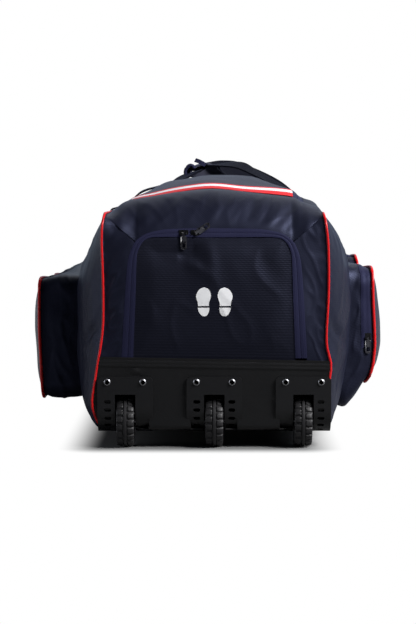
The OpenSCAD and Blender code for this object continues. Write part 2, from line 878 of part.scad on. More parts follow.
// Wheel plates: moulded over the vinyl, open for the wheel, with drain slots beside it
plate_run = 62;
plate_corner = 7;
drain_top = 71;
drain_pitch = 12;
drain_count = 5;
drain_dx = 26.5;
drain_w = 10.5;
drain_h = 5.5;

// Point and turn at a distance down the plate's face, from the first drain slot
function down_face(s) =
    let (flat = drain_top - base_z - base_r, a = (s - flat) / base_r * 180 / PI)
    s < flat ? [0, drain_top - s, 0] : [base_r * (1 - cos(a)), base_z + base_r * (1 - sin(a)), a];

module drain_slot() {
    r = drain_h / 2;
    reach = drain_w / 2 - r;
    rotate([90, 0, 0]) {
        translate([-reach, -r, -10]) cube([2 * reach, drain_h, 20]);
        for (x = [-reach, reach]) translate([x, 0, -10]) cylinder(r = r, h = 20, $fn = 24);
    }
}

module plate_outline() {
    half = plate_w / 2;
    translate([-half, -5]) square([plate_w, plate_top - plate_corner + 5]);
    translate([-half + plate_corner, -5]) square([plate_w - 2 * plate_corner, plate_top + 5]);
    for (x = [plate_corner - half, half - plate_corner])
        translate([x, plate_top - plate_corner]) circle(plate_corner);
}

module wheel_plate(x, drain_sides) {
    color(plastic_black) difference() {
        intersection() {
            across_x(x - plate_w / 2, x + plate_w / 2) wrap_band(gap, gap + plate_t, plate_top, plate_run);
            translate([x, 0, 0]) back_from(-20, plate_run + 20) plate_outline();
        }
        wheel_slots(wheel_slot_w / 2);
        plate_screw_holes(screw_r + 0.2);
        for (side = drain_sides, i = [0:drain_count - 1])
            let (p = down_face(i * drain_pitch))
                translate([x + side * drain_dx, front_y + p[0], p[1]]) rotate([p[2], 0, 0]) drain_slot();
    }
}

module left_wheel_plate() {
    wheel_plate(wheel_xs[0], [-1]);
}

module middle_wheel_plate() {
    wheel_plate(wheel_xs[1], [-1, 1]);
}

module right_wheel_plate() {
    wheel_plate(wheel_xs[2], [1]);
}

// Wheel housings: cups inside the vinyl whose side walls carry the axles
housing_half = wheel_slot_w / 2;
housing_t = 3;
axle_r = axle_d / 2;
axle_half = housing_half + housing_t + 1;

module on_axle(x) {
    translate([x, front_y + axle_back, wheel_r]) rotate([0, 90, 0]) children();
}

module wheel_housings() {
    back = wheel_slot_run;
    color(plastic_black) for (x = wheel_xs) difference() {
        across_x(x - housing_half - housing_t, x + housing_half + housing_t)
            wrap_fill(-vinyl_t - gap, wheel_slot_top + housing_t, back + housing_t);
        translate([x - housing_half, front_y - 20, -1])
            cube([2 * housing_half, back + 20, wheel_slot_top + 1]);
        on_axle(x) cylinder(r = axle_r + 0.02, h = 80, center = true);
    }
}

module axles() {
    color(steel) for (x = wheel_xs) on_axle(x) {
        cylinder(r = axle_r, h = 2 * axle_half, center = true);
        for (side = [-1, 1]) translate([0, 0, side * (axle_half + 0.5)])
            cylinder(r = axle_r + 2, h = 1.4, center = true);
    }
}

hub_r = 24;
hub_half = 11;
boss_r = 8;
boss_half = hub_half + 1.5;
rim_r = 18;
web_half = 4;

module hub(x) {
    color(plastic_black) on_axle(x) rotate_extrude() polygon([
        [axle_r + 0.06, -boss_half], [boss_r, -boss_half], [boss_r, -web_half], [rim_r, -web_half],
        [rim_r, -hub_half], [hub_r, -hub_half], [hub_r, hub_half], [rim_r, hub_half],
        [rim_r, web_half], [boss_r, web_half], [boss_r, boss_half], [axle_r + 0.06, boss_half]
    ]);
}

module left_hub() {
    hub(wheel_xs[0]);
}

module middle_hub() {
    hub(wheel_xs[1]);
}

module right_hub() {
    hub(wheel_xs[2]);
}

// Tyres: crowned, with a thin rib round the middle and blocks on both sides of it
tread_blocks = 20;
groove_w = 3.4;
groove_depth = 2.4;
rib_half = 1.6;

module tyre(x) {
    half = tyre_w / 2;
    color(rubber_black) on_axle(x) difference() {
        rotate_extrude() polygon([
            [hub_r + 0.1, -hub_half], [wheel_r - 8, -half + 1], [wheel_r - 3.2, -half],
            [wheel_r - 1.6, -half + 3], [wheel_r - 0.6, -rib_half - 3], [wheel_r, -rib_half],
            [wheel_r, rib_half], [wheel_r - 0.6, rib_half + 3], [wheel_r - 1.6, half - 3],
            [wheel_r - 3.2, half], [wheel_r - 8, half - 1], [hub_r + 0.1, hub_half]
        ]);
        for (i = [0:tread_blocks - 1], side = [-1, 1])
            rotate([0, 0, 360 * (i + 0.5) / tread_blocks])
                translate([wheel_r - 1 - groove_depth, -groove_w / 2, side > 0 ? rib_half + 1 : -half - 1])
                    cube([groove_depth + 2, groove_w, half - rib_half]);
    }
}

module left_tyre() {
    tyre(wheel_xs[0]);
}

module middle_tyre() {
    tyre(wheel_xs[1]);
}

module right_tyre() {
    tyre(wheel_xs[2]);
}

// Skid feet under the far end, as high as the wheels lift the base
foot_l = 66;
foot_w = 34;
foot_flange_l = 92;
foot_flange_w = 46;
flange_t = 3.5;

module slot_outline(l, w) {
    square([w, l - w], center = true);
    for (side = [-1, 1]) translate([0, side * (l - w) / 2]) circle(w / 2);
}

module skid_foot(x) {
    color(plastic_black) difference() {
        translate([x, back_y - foot_back, 0]) {
            linear_extrude(base_z - gap - flange_t) slot_outline(foot_l, foot_w);
            translate([0, 0, base_z - gap - flange_t])
                linear_extrude(flange_t) slot_outline(foot_flange_l, foot_flange_w);
        }
        foot_screw_holes(screw_r + 0.2);
    }
}

module left_skid_foot() {
    skid_foot(-foot_x);
}

module right_skid_foot() {
    skid_foot(foot_x);
}

// Screws with round heads and a cross recess, and the nuts inside the bag
head_r = 5;
head_h = 2.4;

module screw(shank) {
    difference() {
        union() {
            rotate_extrude() polygon([
                [0, -head_h], [1.6, -head_h + 0.1], [3.2, -head_h + 0.6], [4.4, -head_h + 1.3],
                [head_r, -0.5], [head_r, 0], [0, 0]
            ]);
            cylinder(r = screw_r, h = shank);
        }
        for (turn = [0, 90]) rotate([0, 0, turn]) translate([-2.8, -0.6, -head_h - 1]) cube([5.6, 1.2, 2.4]);
    }
}

plate_shank = 12;
foot_shank = 16;
foot_head_z = base_z - gap - flange_t - gap;

module screws() {
    color(steel) {
        for (x = wheel_xs, dx = [-screw_dx, screw_dx])
            translate([x + dx, front_y - gap - plate_t - 0.1, screw_z]) rotate([-90, 0, 0])
                screw(plate_shank);
        for (x = [-foot_x, foot_x], dy = [-foot_screw_dy, foot_screw_dy])
            translate([x, back_y - foot_back + dy, foot_head_z]) screw(foot_shank);
    }
}

nut_h = 3.6;

module nut() {
    difference() {
        cylinder(r = 4, h = nut_h, $fn = 6);
        translate([0, 0, -1]) cylinder(r = screw_r + 0.05, h = nut_h + 2);
    }
}

module nuts() {
    color(steel) {
        for (x = wheel_xs, dx = [-screw_dx, screw_dx])
            translate([x + dx, front_y + vinyl_t + gap, screw_z]) rotate([-90, 0, 0]) nut();
        for (x = [-foot_x, foot_x], dy = [-foot_screw_dy, foot_screw_dy])
            translate([x, back_y - foot_back + dy, base_z + vinyl_t + board_t + 2 * gap]) nut();
    }
}

base_panel();
base_board();
wheel_end_vinyl();
wheel_end_panel();
far_end_panel();
left_side_panel();
right_side_panel();
wheel_end_shoulder();
far_end_shoulder();
top_rails();
left_piping();
right_piping();
lid_panel();
lid_zip_outer_tape();
lid_zip_inner_tape();
striped_ribbons();
lid_slider_near();
lid_slider_far();
shoe_pocket_flap();
shoe_pocket_liner();
shoe_zip_outer_tape();
shoe_zip_inner_tape();
shoe_slider_left();
shoe_slider_right();
shoe_pull_left();
shoe_pull_right();
left_front_gusset();
left_front_cover();
left_front_slider();
left_rear_gusset();
left_rear_cover();
left_rear_slider();
right_front_gusset();
right_front_cover();
right_front_slider();
right_front_pull();
right_rear_gusset();
right_rear_cover();
right_rear_slider();
left_handle();
right_handle();
handle_wrap();
webbing_anchors();
tow_strap();
tow_grip();
left_wheel_plate();
middle_wheel_plate();
right_wheel_plate();
wheel_housings();
axles();
left_hub();
middle_hub();
right_hub();
left_tyre();
middle_tyre();
right_tyre();
screws();
nuts();
left_skid_foot();
right_skid_foot();
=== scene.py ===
import math

import bpy
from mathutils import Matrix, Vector, noise


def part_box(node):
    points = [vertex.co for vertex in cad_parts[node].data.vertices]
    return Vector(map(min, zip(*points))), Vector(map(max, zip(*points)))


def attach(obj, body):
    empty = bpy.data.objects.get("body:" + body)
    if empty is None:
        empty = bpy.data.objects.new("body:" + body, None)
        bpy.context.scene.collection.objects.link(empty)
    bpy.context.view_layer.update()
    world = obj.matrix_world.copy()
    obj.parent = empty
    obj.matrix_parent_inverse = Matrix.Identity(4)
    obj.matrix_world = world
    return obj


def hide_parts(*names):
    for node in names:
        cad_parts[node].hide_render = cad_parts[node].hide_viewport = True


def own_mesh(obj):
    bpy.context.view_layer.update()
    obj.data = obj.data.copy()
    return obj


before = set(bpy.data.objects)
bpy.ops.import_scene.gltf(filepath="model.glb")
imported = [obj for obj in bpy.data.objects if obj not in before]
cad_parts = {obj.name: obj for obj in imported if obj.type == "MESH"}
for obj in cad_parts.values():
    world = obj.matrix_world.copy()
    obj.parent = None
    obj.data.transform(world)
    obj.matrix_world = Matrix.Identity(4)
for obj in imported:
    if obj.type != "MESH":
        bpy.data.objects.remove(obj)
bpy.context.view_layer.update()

MM = 0.001


# Sizes of the bag, in millimetres, read from the frame
def span(node):
    """Gives the lowest and the highest corner of a node's box."""
    low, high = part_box(node)
    return low / MM, high / MM


PIPE = 2.5
FRONT = span("left_piping")[0].y + PIPE
BACK = span("left_piping")[1].y - PIPE
BASE = span("left_piping")[0].z + PIPE
TOP = span("left_piping")[1].z - PIPE
MIDDLE = (FRONT + BACK) / 2
LENGTH = BACK - FRONT
BASE_CORNER = 36
TOP_CORNER = 24
VINYL_CORNER = 9
LID_LEFT = span("lid_panel")[0].x
LID_RIGHT = span("lid_zip_inner_tape")[1].x
LID_FRONT = span("lid_zip_inner_tape")[0].y
LID_BACK = span("lid_zip_inner_tape")[1].y
CREST = span("lid_panel")[1].z
RIBBON_HEIGHT = CREST - 24
HINGE = span("shoe_pocket_flap")[0].z
WHEELS = [(span(n)[0].x + span(n)[1].x) / 2 for n in ("left_tyre", "middle_tyre", "right_tyre")]
# Height of the bag's heart, which its panels face away from
HEART = 200
# How far the shoulders reach over the top from each end
SHOULDER = 95
# How far the carry handles' legs are from the bag's middle
LEG = 115
# Thicknesses of cloth, vinyl, zip tape, lining and webbing
CLOTH_THICK = 2.5
VINYL_THICK = 2.2
TAPE_THICK = 1.2
LINING_THICK = 1.2
WEBBING_THICK = 2.6
# Widths of the carry handles' webbing and the tow handle's
STRAP_WIDE = 38
TOW_WIDE = 22
# Steps that a smooth line takes between two of its points
FINE = 12

# Shapes
def mix(a, b, t):
    return a + (b - a) * t


def smooth(a, b, t):
    s = min(1.0, max(0.0, (t - a) / (b - a)))
    return s * s * (3 - 2 * s)


def bump(t, centre, width):
    return math.exp(-((t - centre) / width) ** 2)


def swell(t, power=6):
    return 1 - abs(2 * t - 1) ** power


def eased(t):
    return (1 - math.cos(math.pi * t)) / 2


def ripple(a, b, size, seed=0.0):
    """Gives a smooth random height between -1 and 1 at a spot of a panel."""
    return noise.noise(Vector((a / size, b / size, seed * 3.7)))


def crumple(a, b, size, turn, stretch, seed=0.0):
    """Gives the height, 0 to 1, of sharp wrinkles that run at a turn in degrees, stretched along it."""
    along = a * math.cos(math.radians(turn)) + b * math.sin(math.radians(turn))
    over = b * math.cos(math.radians(turn)) - a * math.sin(math.radians(turn))
    return max(0.0, 1 - 3.2 * abs(ripple(along / stretch, over, size, seed))) ** 1.5


def crease(a, b, start, end, width, depth):
    """Gives the height of a fold that runs from start to end and dies out at both."""
    run = Vector(end) - Vector(start)
    t = (Vector((a, b)) - Vector(start)).dot(run) / run.length_squared
    off = (Vector((a, b)) - Vector(start) - run * min(1, max(0, t))).length
    return depth * math.exp(-(off / width) ** 2) * (0.35 + 0.65 * math.sin(math.pi * min(1, max(0, t))))


def creases(a, b, folds):
    """Gives the height of several folds, each with its start, end, width and depth."""
    return sum(crease(a, b, *fold) for fold in folds)


def bezier(a, b, c, d, t):
    """Gives the spot at a part t of a curve that runs from a to d and is drawn towards b and c."""
    s = 1 - t
    return s ** 3 * a + 3 * t * s ** 2 * b + 3 * t * t * s * c + t ** 3 * d


def through(points, count):
    """Gives count + 1 spots at even steps along a smooth line through the points."""
    spots = [Vector(p) for p in points]
    spots = [2 * spots[0] - spots[1]] + spots + [2 * spots[-1] - spots[-2]]
    dense = []
    for a, b, c, d in zip(spots, spots[1:], spots[2:], spots[3:]):
        for k in range(FINE):
            t = k / FINE
            dense.append(
                b + (c - a) * t / 2 + (2 * a - 5 * b + 4 * c - d) * t * t / 2
                + (3 * b - a - 3 * c + d) * t ** 3 / 2
            )
    dense.append(spots[-2])
    reach = [0.0]
    for p, q in zip(dense, dense[1:]):
        reach.append(reach[-1] + (q - p).length)
    line = []
    i = 0
    for k in range(count + 1):
        goal = reach[-1] * k / count
        while i < len(reach) - 2 and reach[i + 1] < goal:
            i += 1
        line.append(dense[i].lerp(dense[i + 1], (goal - reach[i]) / max(1e-6, reach[i + 1] - reach[i])))
    return line


def on_line(line, t):
    """Gives the spot at a fraction of a line's steps."""
    i = min(len(line) - 2, max(0, int(t * (len(line) - 1))))
    return line[i].lerp(line[i + 1], t * (len(line) - 1) - i)


def level(table, z):
    """Reads a table of heights and widths at a height."""
    for (z0, w0), (z1, w1) in zip(table, table[1:]):
        if z <= z1:
            return mix(w0, w1, max(0, (z - z0) / (z1 - z0)))
    return table[-1][1]


def profile(points, count):
    """Gives a smooth table of heights and widths through points that have a width and a height."""
    return [(p.y, p.x) for p in through(points, count)]


# Distances of the pipings from the bag's middle plane, each with its height
EDGES = {
    -1: profile(
        [(171, 22), (175, 36), (180.5, 50), (184.4, 64), (184.8, 72), (182.4, 89), (180, 104), (176.5, 127),
         (171.2, 157), (167.8, 187), (167.2, 225), (168, 270), (169.6, 316), (168.4, 340),
         (164.5, 360)], 80),
    1: profile(
        [(173, 22), (173, 60), (173.5, 100), (175.5, 116), (176.2, 128), (172.8, 142), (169.4, 157),
         (169.2, 180), (170.9, 210), (172.2, 245), (172, 285), (170.7, 316), (167.6, 342), (164, 360)], 80),
}


def edge(side, z):
    """Gives how far a piping is from the bag's middle plane at a height."""
    return level(EDGES[side], z)


def inset(z):
    """Gives how far the piping's outline stands back from an end of the bag at a height."""
    if z > TOP - TOP_CORNER:
        return TOP_CORNER - math.sqrt(max(0, TOP_CORNER ** 2 - (z - TOP + TOP_CORNER) ** 2))
    if z < BASE + BASE_CORNER:
        return BASE_CORNER - math.sqrt(max(0, BASE_CORNER ** 2 - (BASE + BASE_CORNER - z) ** 2))
    return 0


# Distances of the side panels from the middle plane where they are fullest, each with its height
SIDES = {
    -1: profile(
        [(174, 24), (191, 33), (199, 45), (205, 58), (209, 74), (212.5, 95), (215, 120), (217.5, 160),
         (217.5, 235), (210, 268), (200.5, 288), (197, 298), (192.5, 307), (188.5, 317), (180.5, 334),
         (173, 346), (164, 358)], 90),
    1: profile(
        [(173, 24), (185, 35), (189, 43), (194.5, 58), (201, 80), (209.5, 127), (214.5, 150), (218, 192),
         (217, 240), (213, 270), (206, 296), (198, 315), (186.5, 334), (177, 346), (164, 358)], 90),
}


def side_x(side, y, z):
    """Gives how far a side panel is from the middle plane, without its folds."""
    return mix(edge(side, z), level(SIDES[side], z), swell((y - FRONT) / LENGTH, 8))


def crest(y):
    """Gives the height of the top's crest, which rises from the ribbons to the middle."""
    t = min(1, max(0, (min(y - FRONT, BACK - y) - SHOULDER) / 205))
    return mix(RIBBON_HEIGHT, CREST - 1, 1 - (1 - t) ** 3.2)


def dome(points):
    """Gives a smooth table of places across the bag in mm and parts of the top's rise."""
    return [(p.x * 100, p.y) for p in through(points, 80)]


# Shape of the top across the bag, by the ribbons and half way along
DOME_ENDS = dome(
    [(-1.65, 0.02), (-1.61, 0.1), (-1.49, 0.25), (-1.3, 0.49), (-1.08, 0.66), (-0.69, 0.87), (-0.35, 0.97),
     (0, 1), (0.56, 0.96), (1, 0.89), (1.24, 0.8), (1.34, 0.62), (1.45, 0.5), (1.59, 0.31), (1.66, 0.05)])
DOME_MIDDLE = dome(
    [(-1.65, 0), (-1.37, 0.17), (-1.06, 0.47), (-0.8, 0.7), (-0.56, 0.86), (-0.2, 0.99), (0.15, 1.01),
     (0.5, 1), (0.68, 0.96), (0.84, 0.84), (1, 0.68), (1.35, 0.36), (1.66, 0)])


def top_z(x, y):
    """Gives the height of the top, whose crest is to the right and whose near right corner is lifted."""
    deep = min(y - FRONT, BACK - y)
    part = smooth(125, 300, deep)
    droop = (1.8 + (2.7 if x < 0 else 4.3) * (1 - bump(x, -3, 42))) * (1 - smooth(135, 240, deep))
    droop *= 1 - 0.5 * smooth(90, 130, -x) - smooth(135, 165, x)
    corner = smooth(30, 115, x) * (1 - smooth(150, 165, x))
    droop += corner * (3 * (1 - smooth(92, 124, deep)) - 2 * bump(deep, 132, 24))
    hump = 4 * bump(x, -77, 20) * bump(deep, 235, 50)
    return mix(TOP, crest(y), mix(level(DOME_ENDS, x), level(DOME_MIDDLE, x), part)) - droop + hump


# Materials
def colour(code):
    """Turns an sRGB colour code into linear values."""
    parts = [int(code[i:i + 2], 16) / 255 for i in (1, 3, 5)]
    return [c / 12.92 if c <= 0.04045 else ((c + 0.055) / 1.055) ** 2.4 for c in parts] + [1.0]


def fill(tree, node, sockets):
    """Fills or links a node's sockets."""
    for key, value in sockets.items():
        if isinstance(value, bpy.types.NodeSocket):
            tree.links.new(value, node.inputs[key])
        else:
            node.inputs[key].default_value = value


def add_node(tree, kind, sockets=None, **settings):
    """Adds a node, sets it up and fills or links its sockets."""
    made = tree.nodes.new("ShaderNode" + kind)
    for key, value in settings.items():
        setattr(made, key, value)
    fill(tree, made, sockets or {})
    return made


def maths(tree, operation, *values):
    """Adds a node of arithmetic and gives its outcome."""
    return add_node(tree, "Math", dict(enumerate(values)), operation=operation).outputs[0]


def vectors(tree, operation, *values, outcome="Vector"):
    """Adds a node of vector arithmetic and gives its outcome."""
    return add_node(tree, "VectorMath", dict(enumerate(values)), operation=operation).outputs[outcome]


def mixed(tree, factor, a, b, kind="FLOAT"):
    """Adds a node that mixes two numbers or colours and gives its outcome."""
    return add_node(tree, "Mix", {"Factor": factor, "A": a, "B": b}, data_type=kind).outputs["Result"]


# Scale at which a wave texture repeats at every millimetre of a UV map in metres
WAVE_SCALE = 314


def ribs(tree, uv, pitch, direction):
    """Adds ribs at a spacing in mm and gives their height."""
    sockets = {"Vector": uv, "Scale": WAVE_SCALE / pitch}
    return add_node(tree, "TexWave", sockets, bands_direction=direction).outputs["Fac"]


def bumps(tree, height, strength, depth, **more):
    """Adds a relief with a depth in metres and gives its normal."""
    sockets = {"Height": height, "Strength": strength, "Distance": depth, **more}
    return add_node(tree, "Bump", sockets).outputs[0]


def grains(tree, place, size, detail, sockets=None, **settings):
    """Adds a noise of a size in mm and gives its height."""
    filled = {"Vector": place, "Scale": 1000 / size, "Detail": detail, **(sockets or {})}
    return add_node(tree, "TexNoise", filled, **settings).outputs["Fac"]


def new_material(name):
    """Starts a material and gives it back with its tree and shader."""
    material = bpy.data.materials.new(name)
    material.use_nodes = True
    tree = material.node_tree
    return material, tree, tree.nodes["Principled BSDF"]


# Depths in metres of threads and grain, and of rumples, and sizes in mm of rumples and worn patches
THREAD_DEPTH = 0.0004
RUMPLE_DEPTH = 0.002
RUMPLE = 45
PATCH = 40


def cloth_material(name, code, light, rib, relief, rough, sheen, shine, rows=0.0, slant="X", rumple=0.0):
    """Woven cloth: ribs of thread at a spacing in mm, rows that show by a part, worn patches and rumples."""
    material, tree, shader = new_material(name)
    uv = add_node(tree, "UVMap").outputs[0]
    weft = ribs(tree, uv, rib, "Y")
    weave = maths(tree, "MULTIPLY", weft, ribs(tree, uv, rib, slant))
    normal = bumps(tree, mixed(tree, rows, weave, weft), relief, THREAD_DEPTH)
    if rumple:
        ridges = grains(tree, uv, RUMPLE, 3.0, {"Distortion": 0.6}, noise_type="RIDGED_MULTIFRACTAL")
        normal = bumps(tree, ridges, rumple, RUMPLE_DEPTH, Normal=normal)
    tone = mixed(tree, rows, grains(tree, uv, PATCH, 3.0), weft)
    fill(tree, shader, {
        "Base Color": mixed(tree, tone, colour(code), colour(light), "RGBA"), "Normal": normal,
        "Roughness": rough, "Sheen Weight": sheen, "Sheen Roughness": 0.4, "Sheen Tint": colour("#8f9bd0"),
        "Specular IOR Level": shine, "Specular Tint": colour("#a9b2e0")})
    return material


def moulded_material(name, code, rough, shine, grain=0.0, relief=0.0, metal=0.0):
    """A moulded or coated surface with an optional fine grain of a size in mm."""
    material, tree, shader = new_material(name)
    fill(tree, shader, {
        "Base Color": colour(code), "Roughness": rough, "Specular IOR Level": shine, "Metallic": metal})
    if grain:
        pits = grains(tree, add_node(tree, "TexCoord").outputs["Object"], grain, 2.0)
        fill(tree, shader, {"Normal": bumps(tree, pits, relief, THREAD_DEPTH)})
    return material


# Navy polyester, matt with a cool sheen where it turns away from the eye
# Its threads are drawn 2 mm apart so that they show
NAVY = cloth_material(
    "navy polyester oxford", "#0e0f19", "#151624", 2.0, 0.3, 0.5, 0.05, 0.5, slant="DIAGONAL", rumple=0.35)
# The flap's cloth is a little darker, with rows that run across it
FLAP = cloth_material(
    "navy polyester twill", "#0c0c12", "#15151d", 3.3, 0.5, 0.5, 0.05, 0.43, 0.6, "DIAGONAL", 0.25)
# Indigo zip tape with lengthwise ribs, bluer than the cloth
TAPE = cloth_material("indigo zip tape", "#1d1d33", "#23233b", 2.4, 0.3, 0.6, 0.08, 0.3)
# Thin black lining inside the shoe pocket
LINING = cloth_material("black lining cloth", "#101013", "#151518", 0.8, 0.2, 0.8, 0.05, 0.1)
# Dark webbing with a coarse weave across its width
WEBBING = cloth_material("dark webbing", "#0b0b10", "#111117", 2.0, 0.6, 0.75, 0.04, 0.12)
# Grip wrap cloth, paler than the webbing and lightened further as painted light, standing in for the light
# that the right handle's strap shades off it
PAINTED_LIGHT_WRAP = cloth_material("grip wrap cloth", "#30303a", "#3a3a45", 0.9, 0.25, 0.7, 0.08, 0.3)
# Glossy red vinyl piping, the brightest line on the bag
RED = moulded_material("red vinyl piping", "#c60f14", 0.35, 0.35)
# White print ink lying on the flap
INK = moulded_material("white print ink", "#f2f2f4", 0.6, 0.3)
# Satin black coated vinyl with a fine leather grain
VINYL = moulded_material("black coated vinyl", "#0d0d0f", 0.45, 0.35, 2.5, 0.35)
# Black thread, a little paler than what it is sewn through
THREAD = moulded_material("black thread", "#2c2c31", 0.6, 0.3)
# Black moulded plates with soft bright edges
PLASTIC = moulded_material("black moulded polypropylene", "#131315", 0.4, 0.35, 1.2, 0.12)
# Grey-black tyre rubber
RUBBER = moulded_material("black tyre rubber", "#1e1d1f", 0.5, 0.4, 1.5, 0.2)
# Bright nickel on screws and axle ends
NICKEL = moulded_material("nickel plated steel", "#a4a4a8", 0.42, 0.5, metal=1.0)
# Black enamel on the zip sliders
ENAMEL = moulded_material("black enamelled zinc", "#0c0c0e", 0.3, 0.5)
# Dark plated zinc on the pulls, with edges that catch the light
GUNMETAL = moulded_material("gunmetal plated zinc", "#34343a", 0.38, 0.6)
# Grey pressed board under the lining
BOARD = moulded_material("pressed board", "#2a2a2c", 0.8, 0.2)


# Edges of the ribbon's white stripe and depth of its ribs in metres, and their spacing in mm
STRIPE = 0.012, 0.0245
RIBBON_DEPTH = 0.0003
RIBBON_RIB = 1.5


def ribbon_material():
    """Grosgrain ribbon: red, white and red across its width, with fine ribs."""
    material, tree, shader = new_material("striped grosgrain ribbon")
    uv = add_node(tree, "UVMap").outputs[0]
    across = add_node(tree, "SeparateXYZ", {"Vector": uv}).outputs["Y"]
    above = maths(tree, "GREATER_THAN", across, STRIPE[0])
    stripe = maths(tree, "MULTIPLY", above, maths(tree, "LESS_THAN", across, STRIPE[1]))
    fill(tree, shader, {
        "Base Color": mixed(tree, stripe, colour("#d41722"), colour("#e4e4e8"), "RGBA"),
        "Normal": bumps(tree, ribs(tree, uv, RIBBON_RIB, "Y"), 0.3, RIBBON_DEPTH), "Roughness": 0.6})
    return material


RIBBON = ribbon_material()


# Making pieces
def alone(piece):
    """Makes a piece the only one selected."""
    bpy.ops.object.select_all(action="DESELECT")
    piece.select_set(True)
    bpy.context.view_layer.objects.active = piece


def edit(piece):
    """Opens a piece for editing with all of it selected."""
    alone(piece)
    bpy.ops.object.mode_set(mode="EDIT")
    bpy.ops.mesh.select_all(action="SELECT")


def leave():
    """Ends the editing of a piece."""
    bpy.ops.object.mode_set(mode="OBJECT")


def edit_faces(piece, wanted):
    """Opens a piece for editing with only its wanted faces selected."""
    alone(piece)
    bpy.ops.object.mode_set(mode="EDIT")
    bpy.ops.mesh.select_mode(type="FACE")
    bpy.ops.mesh.select_all(action="DESELECT")
    leave()
    for face in piece.data.polygons:
        face.select = wanted(face)
    bpy.ops.object.mode_set(mode="EDIT")


def add_piece(name, mesh):
    """Adds an object for a mesh, both under one name."""
    mesh.name = name.replace(" ", "_")
    piece = bpy.data.objects.new(mesh.name, mesh)
    bpy.context.scene.collection.objects.link(piece)
    return piece


def built(name, points, faces):
    """Adds a piece from points in metres and faces."""
    mesh = bpy.data.meshes.new(name)
    mesh.from_pydata(points, [], faces)
    mesh.update()
    return add_piece(name, mesh)


def length(line):
    return sum((q - p).length for p, q in zip(line, line[1:]))


def grid(name, across, along, place, heart=None):
    """Adds a grid, moves each vertex to place(u, v) in mm and keeps a UV map in metres of cloth."""
    bpy.ops.object.select_all(action="DESELECT")
    bpy.ops.mesh.primitive_grid_add(x_subdivisions=across, y_subdivisions=along, size=2)
    piece = bpy.context.object
    piece.name = name.replace(" ", "_")
    mesh = piece.data
    mesh.name = piece.name
    for vertex in mesh.vertices:
        spot = place((vertex.co.x + 1) / 2, (vertex.co.y + 1) / 2)
        vertex.co = Vector(spot) * MM
    spots = [vertex.co for vertex in mesh.vertices]
    rows = [spots[k * (across + 1):(k + 1) * (across + 1)] for k in range(along + 1)]
    wide = [length(row) for row in rows]
    long = [length([row[k] for row in rows]) for k in range(across + 1)]
    for corner in mesh.uv_layers[0].data:
        corner.uv = (corner.uv[0] * wide[along // 2], corner.uv[1] * long[across // 2])
    centre = Vector(heart or (0, MIDDLE, HEART)) * MM
    mesh.update()
    if sum(f.normal.dot(f.center - centre) * f.area for f in mesh.polygons) < 0:
        mesh.flip_normals()
    return piece


def apply(piece, kind, **settings):
    """Adds a modifier, sets it up and applies it."""
    alone(piece)
    bpy.ops.object.modifier_add(type=kind)
    modifier = piece.modifiers[-1]
    for key, value in settings.items():
        setattr(modifier, key, value)
    bpy.ops.object.modifier_apply(modifier=modifier.name)


def weld(piece):
    """Merges vertices that meet."""
    edit(piece)
    bpy.ops.mesh.remove_doubles(threshold=0.00002)
    leave()


def settle(piece, body, material, slot, *nodes, angle=50):
    """Gives a piece its material, its body and the nodes that it stands for."""
    piece.data.materials.clear()
    piece.data.materials.append(material)
    alone(piece)
    bpy.ops.object.shade_smooth_by_angle(angle=math.radians(angle))
    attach(piece, body)
    if nodes:
        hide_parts(*nodes)
    return piece


def thicken(piece, thick):
    """Gives a grid a thickness that goes inwards from its face."""
    apply(piece, "SOLIDIFY", thickness=thick * MM, offset=-1)


def woven(name, across, along, place, thick, heart=None):
    """A woven piece: a grid with its thickness."""
    piece = grid(name, across, along, place, heart)
    thicken(piece, thick)
    return piece


def cloth(name, across, along, place, thick, heart=None):
    """A sewn panel of cloth or vinyl."""
    piece = woven(name, across, along, place, thick, heart)
    return piece


def tube(name, line, radius, closed=False, around=10):
    """A round cord along a line, with rounded ends where it is open."""
    count = len(line) - 1
    rings = []
    for i, spot in enumerate(line):
        before = line[i - 1] if i else line[-2 if closed else 0]
        after = line[i + 1] if i < count else line[1 if closed else count]
        run = (after - before).normalized()
        other = Vector((0.31, 0.17, 0.93)) if abs(run.z) < 0.8 else Vector((1, 0.1, 0))
        side = run.cross(other).normalized()
        rings.append((spot, side, run.cross(side)))

    def place(u, v):
        spot, a, b = rings[round(v * count)]
        size = radius
        if not closed and round(v * count) in (0, count):
            size = radius * 0.35
        turn = 2 * math.pi * round(u * around) / around
        return spot + (a * math.cos(turn) + b * math.sin(turn)) * size

    piece = grid(name, around, count, place)
    weld(piece)
    edit(piece)
    bpy.ops.mesh.fill_holes(sides=around + 2)
    bpy.ops.mesh.select_all(action="SELECT")
    bpy.ops.mesh.normals_make_consistent(inside=False)
    leave()
    return piece


def band(name, line, across, width, thick, columns=6):
    """A flat strap along a line, with a width direction at every spot."""
    count = len(line) - 1

    def place(u, v):
        i = round(v * count)
        return line[i] + across[i] * (u - 0.5) * width

    piece = grid(name, columns, count, place)
    apply(piece, "SOLIDIFY", thickness=thick * MM, offset=0)
    return piece


def stitches(name, line, outward, pitch=4.0, long=2.8, wide=0.7, lift=0.3):
    """A row of short raised stitches along a line."""
    points = []
    faces = []
    count = max(1, int(length(line) / pitch))
    out = Vector(outward)
    for k in range(count):
        spot = on_line(line, (k + 0.5) / count)
        run = (on_line(line, min(1, (k + 0.7) / count)) - on_line(line, (k + 0.3) / count)).normalized()
        side = run.cross(out).normalized()
        first = len(points)
        for a, b, c in ((-1, 0, -0.3), (0, -1, 0), (1, 0, -0.3), (0, 1, 0), (0, 0, 1)):
            points.append((spot + run * a * long / 2 + side * b * wide / 2 + out * lift * (c + 0.4)) * MM)
        faces += [(first + i, first + (i + 1) % 4, first + 4) for i in range(4)]
        faces.append((first + 3, first + 2, first + 1, first))
    return built(name, points, faces)


